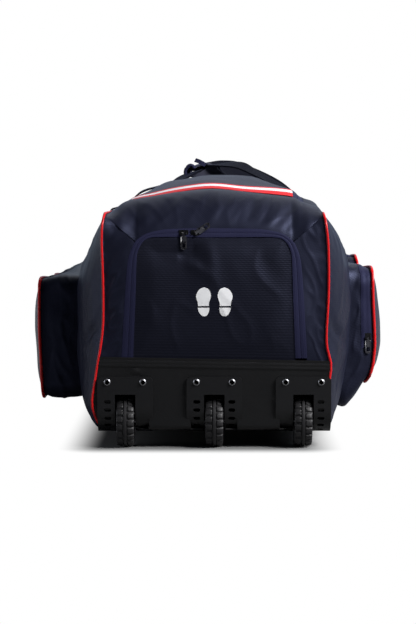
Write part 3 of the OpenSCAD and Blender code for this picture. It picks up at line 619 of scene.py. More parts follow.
def from_cad(node, name, bevel):
    """A copy of a hard node's mesh, welded, with its edges softened."""
    piece = add_piece(name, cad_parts[node].data.copy())
    weld(piece)
    edit(piece)
    bpy.ops.mesh.dissolve_limited(angle_limit=math.radians(2))
    leave()
    apply(piece, "BEVEL", width=bevel * MM, segments=2, limit_method="ANGLE", angle_limit=math.radians(40))
    bpy.ops.object.shade_smooth()
    apply(piece, "WEIGHTED_NORMAL", keep_sharp=True)
    return piece


# Side panels, swollen by what is packed in the bag, with soft folds and puckers along their seams
SIDE_FOLDS = ((6, 186), (70, 152), 6, 3.5), ((4, 205), (44, 150), 5, 2.5)
SIDE_THICK = 3
PIPING_RADIUS = 1.9
PIPING_OUT = 0.6


def side_place(side):
    def place(u, v):
        z = mix(BASE + 1.5, TOP - 1.5, eased(v))
        y = mix(FRONT + inset(z), BACK - inset(z), eased(u))
        near = min(y - FRONT, BACK - y, z - BASE, TOP - z)
        waves = 3 * ripple(y, z * 0.6, 130, side) + 2.2 * ripple(y, z * 0.7, 46, side + 9)
        x = side_x(side, y, z) + waves * smooth(0, 70, near)
        x += 1.2 * ripple(y * 1.5, z * 0.6, 20, side + 4) * smooth(0, 40, near)
        x += 2.2 * crumple(y, z, 42, 75, 2.6, side + 2) * smooth(0, 60, near)
        x += 1.1 * math.sin((y + z) / 3.1 + 2 * ripple(y, z, 60)) * math.exp(-near / 9) * min(1, near / 3)
        return side * (x - creases(y - FRONT, z, SIDE_FOLDS)), y, z
    return place


def turned(y, z, radius, dy, dz, first):
    """Gives spots round a corner of the seam, with or without the first."""
    spots = []
    for a in (math.pi / 16 * i for i in range(first, 9)):
        steps = 1 - math.cos(a), 1 - math.sin(a)
        along, up = steps if first else reversed(steps)
        spots.append((y + dy * radius * along, z + dz * radius * up))
    return spots


# The seam between a side panel and the rest, all the way round
SEAM = (
    [(FRONT, mix(BASE + BASE_CORNER, TOP - TOP_CORNER, i / 24)) for i in range(25)]
    + turned(FRONT, TOP, TOP_CORNER, 1, -1, 1)
    + [(mix(FRONT + TOP_CORNER, BACK - TOP_CORNER, i / 40), TOP) for i in range(1, 40)]
    + turned(BACK, TOP, TOP_CORNER, -1, -1, 0)
    + [(BACK, mix(TOP - TOP_CORNER, BASE + BASE_CORNER, i / 20)) for i in range(1, 21)]
    + turned(BACK, BASE, BASE_CORNER, -1, 1, 1)
    + [(mix(BACK - BASE_CORNER, FRONT + BASE_CORNER, i / 40), BASE) for i in range(1, 40)]
    + turned(FRONT, BASE, BASE_CORNER, 1, 1, 0))
for side, word in ((-1, "left"), (1, "right")):
    panel = cloth(f"{word} side panel cloth", 190, 80, side_place(side), SIDE_THICK)
    settle(panel, "bag", NAVY, "navy_fabric", f"{word}_side_panel")
    line = [Vector((side * (edge(side, z) + PIPING_OUT), y, z)) for y, z in SEAM]
    cord = tube(f"{word} red piping", line, PIPING_RADIUS, closed=True, around=12)
    settle(cord, "bag", RED, "piping", f"{word}_piping", angle=80)


# The wheel end above the vinyl. The shoe pocket's zip runs up, over and down as an arch that leans in
ARCH_OUT = through(
    [(-140.5, HINGE - 4), (-137, 190), (-134, 240), (-130.5, 280), (-126.5, 298), (-119, 313.5),
     (-109, 321.5), (-98.8, 326.6), (-75, 331.4), (-53, 332.6), (0, 333.2)], 60)
ARCH_IN = through(
    [(-122.5, HINGE - 4), (-120, 190), (-118, 240), (-117, 280), (-115.5, 297), (-110.5, 309),
     (-104, 316), (-96, 319.2), (-75, 320), (-53, 319.8), (0, 319.5)], 60)
SEAM_FOOT = Vector((-119, 313.5))
ARCH_TOP = through([SEAM_FOOT] + [p for p in ARCH_OUT if p.x > -116], 40)
ARCH_WIDTHS = [(z, -x) for x, z in ARCH_OUT if z < 314]
FLAP_WIDTHS = [(z, -x) for x, z in ARCH_IN if x < -97]
# Height at which the strips beside the arch end and the shoulder begins
STRIP_TOP = 352


def end_y(x, z):
    """Gives the face of the wheel end, which is fullest half way up."""
    return FRONT - 11 * swell(x / 340 + 0.5, 3.6) * swell((z - HINGE + 2) / 197, 2.2)


def strip_place(side):
    def place(u, v):
        z0 = mix(HINGE - 6, STRIP_TOP, v)
        z1 = mix(HINGE - 6, SEAM_FOOT.y, v)
        x = mix(edge(side, z0) - 1, level(ARCH_WIDTHS, z1) - 0.5, u)
        z = mix(z0, z1, u)
        y = mix(FRONT + inset(z0) + 1, end_y(x, z), math.sin(math.pi / 2 * min(1, u / 0.9)))
        y += 2.4 * math.sin(math.pi * u) * (ripple(side * x, z, 42, 3) + 0.3)
        size, turn = (1.5, 48) if side < 0 else (1.0, -66)
        y -= size * math.sin(math.pi * u) * crumple(side * x, z, 17, turn, 2.4, 3 + side)
        y += 0.7 * math.sin(z / 2.9) * math.exp(-u * 7) * min(1, u * 12)
        return side * x, y, z
    return place


# Pulls that run up and out from the zip's corners
SHOULDER_FOLDS = (
    ((28, 336), (44, 362), 5, 3), ((44, 336), (66, 368), 5, 3.4), ((64, 334), (92, 366), 5, 3.4),
    ((84, 332), (118, 362), 6, 3), ((104, 328), (140, 352), 6, 2.6), ((-70, 336), (-112, 366), 8, 2.4),
    ((-96, 330), (-140, 352), 7, 2.2), ((-20, 340), (-40, 374), 9, 2))
# Part of the shoulder's lower edge, from each side to the middle, that lies beside the arch
SLOPE = 0.24


def shoulder_place(u, v):
    side = -1 if u < 0.5 else 1
    s = min(u, 1 - u) / 0.5
    wide = edge(side, STRIP_TOP) - 1
    if s < SLOPE:
        t = s / SLOPE
        x = mix(wide, -SEAM_FOOT.x, t)
        z = mix(STRIP_TOP, SEAM_FOOT.y, t)
        y = mix(inset(STRIP_TOP) + 1, 0, smooth(0, 0.6, t)) + mix(1.2, 0.4, t)
    else:
        spot = on_line(ARCH_TOP, 1 - (1 - s) / (1 - SLOPE))
        x, z, y = -spot.x, spot.y, 0.4
    far_x = x * (edge(side, TOP) - 1) / wide
    far_z = top_z(side * far_x, FRONT + SHOULDER)
    rise = far_z - z
    z = bezier(z, z + 0.58 * rise, far_z + 20 * smooth(5, 40, rise), far_z - 2, v)
    y = bezier(y, y + 7, 64, 90, v)
    fade = math.sin(math.pi * v) * min(1, s * 4)
    y -= fade * (4 * ripple(side * x, z, 60, 5) + 2.4 * ripple(side * x * 1.6 - z, z * 0.5, 24, 6))
    right = smooth(-70, 30, side * x)
    leaning = right * crumple(side * x, z, 22, 52, 2.6, 7)
    y -= fade * 1.3 * (leaning + (1 - right) * crumple(side * x, z, 22, 128, 2.6, 7))
    y += fade * 0.6 * creases(side * x, z, SHOULDER_FOLDS)
    z += 1.5 * fade * ripple(side * x, y, 70, 8)
    return side * mix(x, far_x, v), FRONT + y, z


for side in (-1, 1):
    strip = cloth(f"wheel end strip {side}", 20, 90, strip_place(side), CLOTH_THICK)
    settle(strip, "bag", NAVY, "navy_fabric", "wheel_end_panel")
shoulder = cloth("wheel end shoulder cloth", 130, 44, shoulder_place, CLOTH_THICK)
settle(shoulder, "bag", NAVY, "navy_fabric", "wheel_end_shoulder")


# The flap with its creases, pressed back behind the way of the left pull, and the zip tape round it
PULL = (span("shoe_pull_left")[0] + span("shoe_pull_left")[1]) / 2
PULL_BACK = span("shoe_pull_left")[1].y
FLAP_TOP = 319.3
FLAP_FOOT = 133.5
FOOT_SLOPE = 2.1
FLAP_EASE = 1.4
FLAP_LAP = 0.6
FLAP_FOLDS = (
    ((-62, 300), (-8, 262), 9, 2.2), ((-10, 312), (2, 250), 10, 1.8), ((-48, 308), (-20, 285), 7, -1.6),
    ((60, 310), (98, 250), 14, -1.4), ((-110, 220), (-70, 170), 14, 1.2), ((104, 215), (66, 165), 14, 1.2))


def flap_foot(u):
    """Gives the height of the flap's bottom edge, behind the vinyl's sloping hem."""
    return min(HINGE, FLAP_FOOT - FOOT_SLOPE * (2 * u - 1))


def flap_place(u, v):
    z = mix(flap_foot(u), FLAP_TOP, 1 - (1 - v) ** FLAP_EASE)
    half = level(FLAP_WIDTHS, z) + FLAP_LAP
    x = (2 * u - 1) * half
    inner = smooth(0, 30, min(half - abs(x), 320 - z, z - HINGE))
    y = end_y(x, z) + 0.8 - 2.2 * inner * (1 + 0.8 * ripple(x, z, 70, 11))
    y -= 0.9 * inner * crumple(x, z, 36, 115, 2.2, 12) + creases(x, z, FLAP_FOLDS)
    path = smooth(PULL.x - 88, PULL.x - 32, x) * (1 - smooth(PULL.x + 8, PULL.x + 30, x))
    dent = max(bump(x, PULL.x, 20), 0.8 * path) * bump(z, PULL.z - 4, 24)
    return x, mix(y, max(y, PULL_BACK + 0.6), min(1, 1.7 * dent)), z


def flap_face(x, z):
    """Gives the flap's face at a spot across it and a height."""
    u = 0.5 + x / (2 * (level(FLAP_WIDTHS, z) + FLAP_LAP))
    part = (z - flap_foot(u)) / (FLAP_TOP - flap_foot(u))
    return flap_place(u, 1 - (1 - part) ** (1 / FLAP_EASE))[1]


flap = cloth("shoe pocket flap cloth", 96, 80, flap_place, CLOTH_THICK)
settle(flap, "shoe_flap", FLAP, "navy_fabric", "shoe_pocket_flap")


def mirrored(line):
    """Gives a line that goes on as its mirror image past its last spot."""
    return line + [Vector((-p.x, p.y)) for p in reversed(line[:-1])]


def tape_place(start, end):
    outer, inner = mirrored(ARCH_OUT), mirrored(ARCH_IN)

    def place(u, v):
        spot = on_line(outer, v).lerp(on_line(inner, v), mix(start, end, u))
        z = max(HINGE - 1, spot.y)
        return spot.x, end_y(spot.x, z) - 0.3 * math.sin(math.pi * u) - 0.2, z
    return place


for word, body, start, end in (("outer", "bag", -0.02, 0.492), ("inner", "shoe_flap", 0.508, 0.98)):
    tape = woven(f"shoe zip {word} tape cloth", 6, 160, tape_place(start, end), TAPE_THICK)
    settle(tape, body, TAPE, "zip_tape", f"shoe_zip_{word}_tape")


# Vinyl round the wheel end's foot, with a sewn hem along its top
VINYL_RUN = 210
HEM_ROWS = 4.5, 10
HEM_HEIGHT = 136
HEM_SLOPE = 3
# How far down the sheet its hem and folds reach
FOLDED_RUN = 60
# Half width, height and depth of the openings for the wheel housings
HOUSING_HALF, HOUSING_HIGH, HOUSING_DEEP = 17, 84, 70
# Half width and heights of the openings behind the plates' slots, and how far out they go
SLOTS_HALF, SLOTS_LOW, SLOTS_HIGH, SLOTS_OUTER = 36, 28, 75, 122
HEM_FOLDS = ((-128, 118), (-112, 116), 5, 1.8), ((-124, 112), (-108, 111), 5, -1.2)


def vinyl_place(u, v):
    x = 2 * u - 1
    hem = HEM_HEIGHT - HEM_SLOPE * x
    run = v * VINYL_RUN
    corner = mix(VINYL_CORNER, BASE_CORNER, smooth(0.6, 0.82, abs(x)))
    down = hem - (BASE + corner)
    if run < down:
        y, z = 0, hem - run
    elif run < down + corner * math.pi / 2:
        a = (run - down) / corner
        y, z = corner * (1 - math.cos(a)), BASE + corner * (1 - math.sin(a))
    else:
        y, z = corner + run - down - corner * math.pi / 2, BASE
    x *= edge(1 if x > 0 else -1, z) - 1.5
    if run < FOLDED_RUN:
        y -= 1.8 * (1 - smooth(13, 15, run)) + 0.9 * (ripple(x, z, 60, 21) + 0.4)
        y += 0.9 * sum(bump(run, row, 1.5) for row in HEM_ROWS) - creases(x, z, HEM_FOLDS)
    return x, FRONT + y, z


def opened(face):
    """Says whether a face of the vinyl is where a wheel housing or the slots of a plate are."""
    spot = face.center / MM
    aside = min(abs(spot.x - x) for x in WHEELS)
    if aside < HOUSING_HALF and spot.z < HOUSING_HIGH and spot.y < FRONT + HOUSING_DEEP:
        return True
    facing = SLOTS_LOW < spot.z < SLOTS_HIGH and spot.y < FRONT + VINYL_CORNER
    return facing and aside < SLOTS_HALF and abs(spot.x) < SLOTS_OUTER


vinyl = grid("wheel end vinyl sheet", 176, 140, vinyl_place)
edit_faces(vinyl, opened)
bpy.ops.mesh.delete(type="FACE")
leave()
thicken(vinyl, VINYL_THICK)
settle(vinyl, "bag", VINYL, "vinyl", "wheel_end_vinyl")
for row in HEM_ROWS:
    line = [Vector(vinyl_place(i / 120, row / VINYL_RUN)) for i in range(2, 119)]
    settle(stitches(f"vinyl hem stitches {row}", line, (0, -1, 0)), "bag", THREAD, "vinyl")


# The top: rails beside the zip, the lid with its ribbons, and the zip tapes
RAIL_END = 84
# Part of a rail's width in which it turns down
RAIL_TURN = 0.2
LID_TAPE_THICK = 1.4
RIBBON_THICK = 0.8
RIBBON_LIFT = 1.6


def top_place(x0, x1, y0, y1, lift=0.0, folds=0.0):
    def place(u, v):
        x = mix(x0, x1, u)
        y = mix(y0, y1, v)
        z = top_z(x, y) + lift
        if folds:
            fade = smooth(0, 40, min(x - x0, x1 - x, y - y0, y1 - y)) * folds
            z += fade * (ripple(x * 0.35, y, 34, 31) + 1.4 * ripple(x, y, 90, 32))
        return x, y, z
    return place


def rail_place(outer, inner):
    """A rail whose outer edge turns down to the side panel's seam."""
    top = top_place(outer, inner, FRONT + RAIL_END, BACK - RAIL_END)

    def place(u, v):
        x, y, z = top(max(0, (u - RAIL_TURN) / (1 - RAIL_TURN)), v)
        return x, y, mix(min(z, TOP - 1), z, min(1, u / RAIL_TURN))
    return place


for side, word, inner in ((-1, "left", LID_LEFT - 0.6), (1, "right", LID_RIGHT + 10)):
    rail = cloth(f"{word} rail cloth", 12, 60, rail_place(side * (edge(side, TOP) - 1), inner), CLOTH_THICK)
    settle(rail, "bag", NAVY, "navy_fabric", "top_rails")
lid = cloth(
    "lid cloth", 60, 110, top_place(LID_LEFT, LID_RIGHT - 9, LID_FRONT + 9, LID_BACK - 9, folds=1.1),
    CLOTH_THICK)
settle(lid, "lid", NAVY, "navy_fabric", "lid_panel")
near, far = LID_FRONT - 0.4, LID_BACK + 0.4
for word, body, name, box in (
    ("outer", "bag", "right", (LID_RIGHT + 0.8, LID_RIGHT + 10.2, near - 9.5, far + 9.5)),
    ("outer", "bag", "near", (LID_LEFT, LID_RIGHT + 0.6, near - 9.8, near - 0.4)),
    ("outer", "bag", "far", (LID_LEFT, LID_RIGHT + 0.6, far + 0.4, far + 9.8)),
    ("inner", "lid", "right", (LID_RIGHT - 9.2, LID_RIGHT, near + 0.4, far - 0.4)),
    ("inner", "lid", "near", (LID_LEFT, LID_RIGHT - 9.4, near + 0.4, near + 9.6)),
    ("inner", "lid", "far", (LID_LEFT, LID_RIGHT - 9.4, far - 9.6, far - 0.4)),
):
    tape = woven(f"lid zip {word} tape {name}", 24, 24, top_place(*box, lift=-0.2), LID_TAPE_THICK)
    settle(tape, body, TAPE, "zip_tape", f"lid_zip_{word}_tape")
for name, y0, y1 in (("near", near + 9.5, near + 40), ("far", far - 9.5, far - 40)):
    box = LID_LEFT + 1, LID_RIGHT - 7, y0, y1
    strip = cloth(f"striped ribbon {name}", 60, 10, top_place(*box, lift=RIBBON_LIFT), RIBBON_THICK)
    settle(strip, "lid", RIBBON, "ribbon", "striped_ribbons")


# Far end: a plain panel over the base's vinyl, and a shoulder like the wheel end's
FAR_FOOT = 94


def far_panel_place(u, v):
    z = mix(FAR_FOOT, TOP - 4, v)
    x = mix(-edge(-1, z) + 1, edge(1, z) - 1, u)
    y = BACK - inset(z) + 3 * swell(u, 4) * bump(z, 220, 110)
    return x, y + 2 * ripple(x, z, 60, 41) * swell(u) * swell(v), z


def far_shoulder_place(u, v):
    x = mix(-edge(-1, TOP) + 1, edge(1, TOP) - 1, u)
    far_z = top_z(x, BACK - SHOULDER) - 2
    z0 = TOP - 8
    rise = far_z - z0
    z = bezier(z0, z0 + 0.62 * rise, far_z - 0.14 * rise, far_z, v)
    y = bezier(inset(z0), inset(z0) + 4, 46, 85, v)
    z += 1.5 * math.sin(math.pi * v) * ripple(x, y, 50, 43) * (1 - min(1, abs(x) / 160) ** 8)
    return x, BACK - y, z


# Base: vinyl from behind the wheels to the far end, where it turns up
BASE_START = 118
BASE_UP = 34


def base_place(u, v):
    flat = LENGTH - BASE_START - BASE_CORNER
    arc = BASE_CORNER * math.pi / 2
    run = v * (flat + arc + BASE_UP)
    if run < flat:
        y, z = FRONT + BASE_START + run, BASE
    elif run < flat + arc:
        a = (run - flat) / BASE_CORNER
        y, z = BACK - BASE_CORNER * (1 - math.sin(a)), BASE + BASE_CORNER * (1 - math.cos(a))
    else:
        y, z = BACK + 0.5, BASE + BASE_CORNER + run - flat - arc
    return mix(-edge(-1, z) + 1.5, edge(1, z) - 1.5, u), y, z


for word, along, place in (("panel", 50, far_panel_place), ("shoulder", 20, far_shoulder_place)):
    panel = cloth(f"far end {word} cloth", 60, along, place, CLOTH_THICK)
    settle(panel, "bag", NAVY, "navy_fabric", f"far_end_{word}")
settle(cloth("base vinyl sheet", 24, 90, base_place, VINYL_THICK), "bag", VINYL, "vinyl", "base_panel")


# Lining of the shoe pocket: a floor, two walls and a roof in one run, and a back
LINING_HALF, LINING_LOW, LINING_HIGH = 132, HINGE + 1.5, 328
LINING_MOUTH = FRONT + 6
LINING_DEEP = 146
LINING_CORNERS = [
    Vector((x * LINING_HALF, z)) for x, z in (
        (1, LINING_LOW), (-1, LINING_LOW), (-1, LINING_HIGH), (1, LINING_HIGH), (1, LINING_LOW))]


def lining_place(u, v):
    spot = on_line(LINING_CORNERS, u)
    return spot.x, LINING_MOUTH + LINING_DEEP * v, spot.y


def lining_back_place(u, v):
    y = LINING_MOUTH + LINING_DEEP + 2 * ripple(u * 200, v * 150, 60, 51)
    return mix(-LINING_HALF, LINING_HALF, u), y, mix(LINING_LOW, LINING_HIGH, v)


for name, across, place in (("lining", 48, lining_place), ("lining back", 24, lining_back_place)):
    panel = cloth(f"shoe pocket {name}", across, 16, place, LINING_THICK)
    settle(panel, "bag", LINING, "lining", "shoe_pocket_liner")


# Side pockets
POCKET_R = 24
POCKET_THICK = 2
POCKET_HEART = 180
POCKET_SAG = 10
COVER_BULGE = {-1: 13, 1: 15}
# Radius of the pockets' pipings and how far out of the seam they lie
EDGING_RADIUS = 2.4
EDGING_OUT = 1.8
# Distances of the zip tape's two edges from the seam
ZIP_EDGES = 17.5, 1
# Height at which the zip of the right front pocket begins, and at which all end
ZIP_FOOT = 154
# Heights of the pockets' seams, each with its distance from the middle plane
SEAMS = {
    -1: [(62, 266), (72, 267.6), (90, 268.6), (132, 270.4), (170, 272.3), (245, 272.3), (252, 271)],
    1: [(88, 235), (93, 238.6), (101, 243.5), (117, 247.8), (148, 250.6), (179, 249.4), (218, 247.4),
        (264, 246.4), (276, 243.5)],
}


def loop_spot(levels, centre, half, s):
    """Gives a spot of a pocket's outline and its outward way, s from the near foot up, over and round."""
    low, high = levels
    r = POCKET_R
    sides = (high - low - 2 * r, 2 * half - 2 * r) * 2
    arc = math.pi * r / 2
    run = (s % 1.0) * (sum(sides) + 4 * arc)
    flat, top, foot_z = half - r, high - r, low + r
    starts = (-half, foot_z, 0, 1), (-flat, high, 1, 0), (half, top, 0, -1), (flat, low, -1, 0)
    bends = (-flat, top, 180), (flat, top, 90), (flat, foot_z, 0), (-flat, foot_z, -90)
    for straight, (y, z, dy, dz), (bend_y, bend_z, turn) in zip(sides, starts, bends):
        if run <= straight:
            return Vector((centre + y + dy * run, z + dz * run)), Vector((-dz, dy))
        run -= straight
        if run <= arc:
            a = math.radians(turn) - run / r
            out = Vector((math.cos(a), math.sin(a)))
            return Vector((centre + bend_y + r * math.cos(a), bend_z + r * math.sin(a))), out
        run -= arc
    return Vector((centre - half, foot_z)), Vector((-1, 0))


def pocket(word, end, wall, mouth):
    """Makes a pocket's gusset, cover, red edge and zip tape from the heights of its wall and its mouth."""
    side = -1 if word == "left" else 1
    low, high = span(f"{word}_{end}_gusset")
    centre = (low.y + high.y) / 2
    half = (high.y - low.y) / 2

    def seam_x(z):
        return level(SEAMS[side], z)

    def sag(y, z):
        """Lowers a spot of the pocket's mouth towards its far end."""
        return POCKET_SAG * smooth(centre - half, centre + half, y) * smooth(mouth[0], mouth[1], z)

    def gusset_spot(s, t, lift=0.0):
        flare = 5 * (1 - t) ** 2 if side > 0 else 0
        a, na = loop_spot(wall, centre, half + flare, s)
        b, nb = loop_spot(mouth, centre, half, s)
        spot = a.lerp(b, t)
        out = na.lerp(nb, t).normalized()
        up, down = max(0, out.y), max(0, -out.y)
        x = mix(side_x(side, a.x, a.y) - 4, seam_x(b.y), t)
        soft = 1.3 if side > 0 else 2.6
        arch = math.sin(math.pi * t)
        puff = arch * (3 + soft * ripple(x * 1.2, spot.x + spot.y, 40, 61))
        puff += arch ** 2 * ripple(x, spot.x + spot.y, 13, 62)
        puff += arch ** 2 * 1.7 * crumple(x * 1.5, spot.x * 0.6 + spot.y, 24, 60, 2.4, 63 + side)
        if side < 0:
            puff += up ** 2 * swell(t, 6)
        else:
            puff += 16 * down ** 2 * math.sin(math.pi * t ** 0.8) - 2 * up ** 2
        puff *= 1 - 0.8 * max(0, out.x)
        spot = spot + out * (puff + lift)
        spot.y += 1.4 * down * smooth(0.8, 1, t) - sag(b.x, b.y) * t
        if side < 0 and end == "front":
            spot.y += 13 * up ** 2 * smooth(0.45, 0.85, 1 - t) * smooth(-half, half * 0.6, a.x - centre)
        return Vector((side * x, spot.x, spot.y))

    heart = (side * 235, centre, POCKET_HEART)
    gusset = grid(f"{word} {end} pocket gusset cloth", 220, 24, gusset_spot, heart)
    weld(gusset)
    thicken(gusset, POCKET_THICK)
    settle(gusset, "bag", NAVY, "navy_fabric", f"{word}_{end}_gusset")

    def cover_place(u, v):
        z = mix(mouth[0], mouth[1], eased(v))
        turn = min(POCKET_R, max(0, POCKET_R - min(z - mouth[0], mouth[1] - z)))
        reach = half - POCKET_R + math.sqrt(max(0, POCKET_R ** 2 - turn ** 2))
        y = centre + reach * (2 * eased(u) - 1)
        full = swell(eased(u), 4) * swell(eased(v), 4)
        bulge = COVER_BULGE[side] * full + 2.5 * full * ripple(y, z, 60, 71 + side)
        return side * (seam_x(z) + 2 + bulge), y, z - sag(y, z)

    within = (0, centre, POCKET_HEART)
    cover = cloth(f"{word} {end} pocket cover cloth", 60, 40, cover_place, POCKET_THICK, within)
    settle(cover, f"{word}_{end}_cover", NAVY, "navy_fabric", f"{word}_{end}_cover")
    line = []
    for i in range(121):
        spot, out = loop_spot(mouth, centre, half, i / 120)
        drawn = spot + EDGING_OUT * out
        line.append(Vector((side * (seam_x(spot.y) + 2), drawn.x, drawn.y - sag(spot.x, spot.y))))
    cord = tube(f"{word} {end} pocket red piping", line, EDGING_RADIUS, closed=True)
    settle(cord, f"{word}_{end}_cover", RED, "piping", angle=80)

    up = mouth[1] - mouth[0] - 2 * POCKET_R
    over = 2 * half - 2 * POCKET_R
    arc = math.pi * POCKET_R / 2
    around = 2 * (up + over) + 4 * arc
    first = up + arc
    if (word, end) == ("right", "front"):
        first = ZIP_FOOT - mouth[0] - POCKET_R
    last = up + over + 2 * arc + mouth[1] - POCKET_R - ZIP_FOOT

    def zip_place(u, v):
        s = mix(first / around, last / around, v)
        spot = loop_spot(mouth, centre, half, s)[0]
        wide = seam_x(spot.y) - side_x(side, spot.x, spot.y) + 4
        return gusset_spot(s, 1 - mix(*ZIP_EDGES, u) / wide, 0.6 + 0.6 * math.sin(2 * math.pi * u) ** 2)

    tape = woven(f"{word} {end} pocket zip tape", 8, 120, zip_place, 1.0, heart)
    settle(tape, "bag", TAPE, "zip_tape")


pocket("left", "front", (66, 255), (66, 251))
pocket("left", "rear", (66, 268), (68, 243))
pocket("right", "front", (57, 275), (90, 268))
pocket("right", "rear", (57, 283), (88, 276))


# Carry handles: webbing that rises from each shoulder, runs along the bag inside the wrap and comes back
STRAP_STEPS = 110


def handle(name, near, far, near_lean, far_lean, roll, body):
    """Makes a strap along points, with the wheel-end edge of each leg lower than its other edge."""
    line = [p + Vector((0, MIDDLE, 0)) for p in through(near + far, STRAP_STEPS)]
    across = []
    for i in range(STRAP_STEPS + 1):
        run = line[min(i + 1, STRAP_STEPS)] - line[max(i - 1, 0)]
        wide = Vector((run.x, run.y, 0)).normalized().cross(Vector((0, 0, 1)))
        lean = wide.y * (near_lean if wide.y > 0 else far_lean) * smooth(0, 14, min(i, STRAP_STEPS - i))
        across.append((wide + Vector((0, 0, lean + roll * wide.x))).normalized())
    piece = band(name, line, across, STRAP_WIDE, 2.4, 8)
    settle(piece, body, WEBBING, "webbing", body)
    fall(piece, -1 if near[0][0] < 0 else 1)


def fall(piece, side, reach=167, height=362):
    """Gives a strap, or a piece on it, a mesh of its own."""
    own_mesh(piece)


def foot(side, y):
    """Gives the spot where a strap leaves its anchor."""
    return side * (edge(side, TOP) + 3), y, TOP + 3.8


handle(
    "right carry handle webbing",
    [foot(1, -LEG), (146, -115, 375), (103, -113, 400.5), (66, -109, 421), (45, -103, 431.5), (25, -92, 434),
     (8, -75, 434), (-4, -45, 432.5), (-8, 0, 431)],
    [(-4, 45, 429.5), (8, 75, 428.5), (25, 92, 428.5), (45, 103, 426), (66, 109, 417.5), (103, 113, 400.5),
     (146, 115, 375), foot(1, LEG)],
    0.24, 1.35, 0.0, "right_handle")
handle(
    "left carry handle webbing",
    [foot(-1, -LEG), (-150, -115, 365.5), (-135, -115, 375.5), (-122, -115, 386.5), (-108, -114, 392.5),
     (-92, -112, 396.5), (-72, -108, 402.6), (-60, -103, 406.5), (-46, -90, 415), (-34, -68, 421),
     (-26, -40, 423), (-22, 0, 423)],
    [(-26, 40, 423), (-34, 68, 421), (-46, 90, 415), (-60, 103, 406.5), (-72, 108, 402.6),
     (-100, 114, 392.8), (-120, 115, 381.5), (-137, 115, 371.8), (-150, 115, 365.5), foot(-1, LEG)],
    0.05, 0.05, 0.3, "left_handle")


# Grip wrap, unfastened: a padded cloth sleeve round the left grip, sprung open at its near end like a cone
RING = 48


def arcs(lower, upper):
    """Gives a closed ring from a lower and an upper run of points."""
    return through(lower, RING // 2) + through(upper, RING // 2)[1:]


WRAP_RINGS = [
    arcs([(-41.7, -92, 415.3), (-28.8, -88, 418.7), (-19.9, -84, 422.2), (-13, -78, 428),
          (-9.2, -72, 435.5)],
         [(-9.2, -72, 435.5), (-17.9, -68, 434.6), (-28, -66, 432), (-35.5, -70, 427), (-39, -80, 421),
          (-41.7, -92, 415.3)]),
    arcs([(-42, -93, 413), (-22, -99, 413), (0, -97, 413), (19, -88, 414.5), (8, -82, 425),
          (-8.5, -70, 436)],
         [(-8.5, -70, 436), (-20, -62, 435), (-31, -60, 431), (-39, -68, 423), (-42, -93, 413)]),
    arcs([(-44, -40, 417), (-22, -40, 414.5), (4, -40, 416), (10, -40, 424), (2, -40, 433), (-10, -40, 437)],
         [(-10, -40, 437), (-22, -40, 436), (-34, -40, 432), (-43, -40, 425), (-44, -40, 417)]),
    arcs([(-46, 45, 421), (-34, 45, 419.5), (-20, 45, 419), (-8, 45, 419.5), (-2, 45, 421), (-3, 45, 424)],
         [(-3, 45, 424), (-14, 45, 427), (-26, 45, 427), (-42, 45, 425), (-46, 45, 421)]),
]


def wrap_place(u, v):
    i = round(u * RING)
    run = v * 3 if v < 1 / 3 else mix(1, 3, (v - 1 / 3) * 1.5)
    k = min(2, int(run))
    spot = WRAP_RINGS[k][i].lerp(WRAP_RINGS[k + 1][i], run - k)
    out = Vector((spot.x + 18, 0, spot.z - 424)).normalized()
    spot = spot + out * 1.2 * ripple(spot.y + spot.x, spot.z * 2, 22, 81) * min(1, v * 5)
    return spot.x, MIDDLE + spot.y, spot.z


# A spot beside the bag, given to fall with the wrap: its distance from the middle plane and its height
WRAP_REST = 183, 350
wrap = grid("grip wrap cloth", RING, 36, wrap_place, (-18, MIDDLE, 424))
weld(wrap)
thicken(wrap, 2.5)
# The wrap's paler colour is partly painted light, making up for the right handle strap's shadow
settle(wrap, "left_handle", PAINTED_LIGHT_WRAP, "wrap", "handle_wrap")
fall(wrap, -1, *WRAP_REST)
CURL = 24
curl = through([(-47, 414.5), (-47.6, 422), (-45, 428.5), (-39.5, 432.5), (-34, 430.5), (-32.5, 426)], CURL)
crook = through([(-40, 413), (-41, 419), (-39.5, 424), (-37.5, 427), (-36, 426.5), (-34.5, 424)], CURL)


def tongue_place(u, v):
    """A strip of the wrap's edge that curls over, seen from its near side."""
    spot = curl[round(u * CURL)]
    return spot.x, MIDDLE + mix(-80, -24, v), spot.y


def pleat_place(u, v):
    """The folds that fill the curl, a little way in."""
    spot = curl[round(v * CURL)].lerp(crook[round(v * CURL)], u)
    return spot.x, MIDDLE - 79 + 9 * math.sin(math.pi * u * 0.6), spot.y


edge_line = [Vector((p.x, MIDDLE - 81, p.y)) for p in curl]
tab_line = through([(-31, 0, 441), (-26, -1, 439.5), (-20, -1, 436.5), (-14, 1, 433)], 12)
tab_line = [p + Vector((0, MIDDLE - 80, 0)) for p in tab_line]
tongue = woven("grip wrap tongue", CURL, 12, tongue_place, 2, (-36, MIDDLE - 52, 418))
pleat = woven("grip wrap pleat", 12, CURL, pleat_place, 1.5, (-36, MIDDLE, 418))
binding = tube("grip wrap binding edge", edge_line, 2.8)
tab = band("grip wrap tab", tab_line, [Vector((0.45, 0, 0.9))] * 13, 7, 3)
settle(tongue, "left_handle", WEBBING, "wrap", "handle_wrap")
settle(pleat, "left_handle", WEBBING, "wrap")
settle(binding, "left_handle", TAPE, "wrap", angle=80)
settle(tab, "left_handle", TAPE, "wrap")
for piece in (tongue, pleat, binding, tab):
    fall(piece, -1, *WRAP_REST)


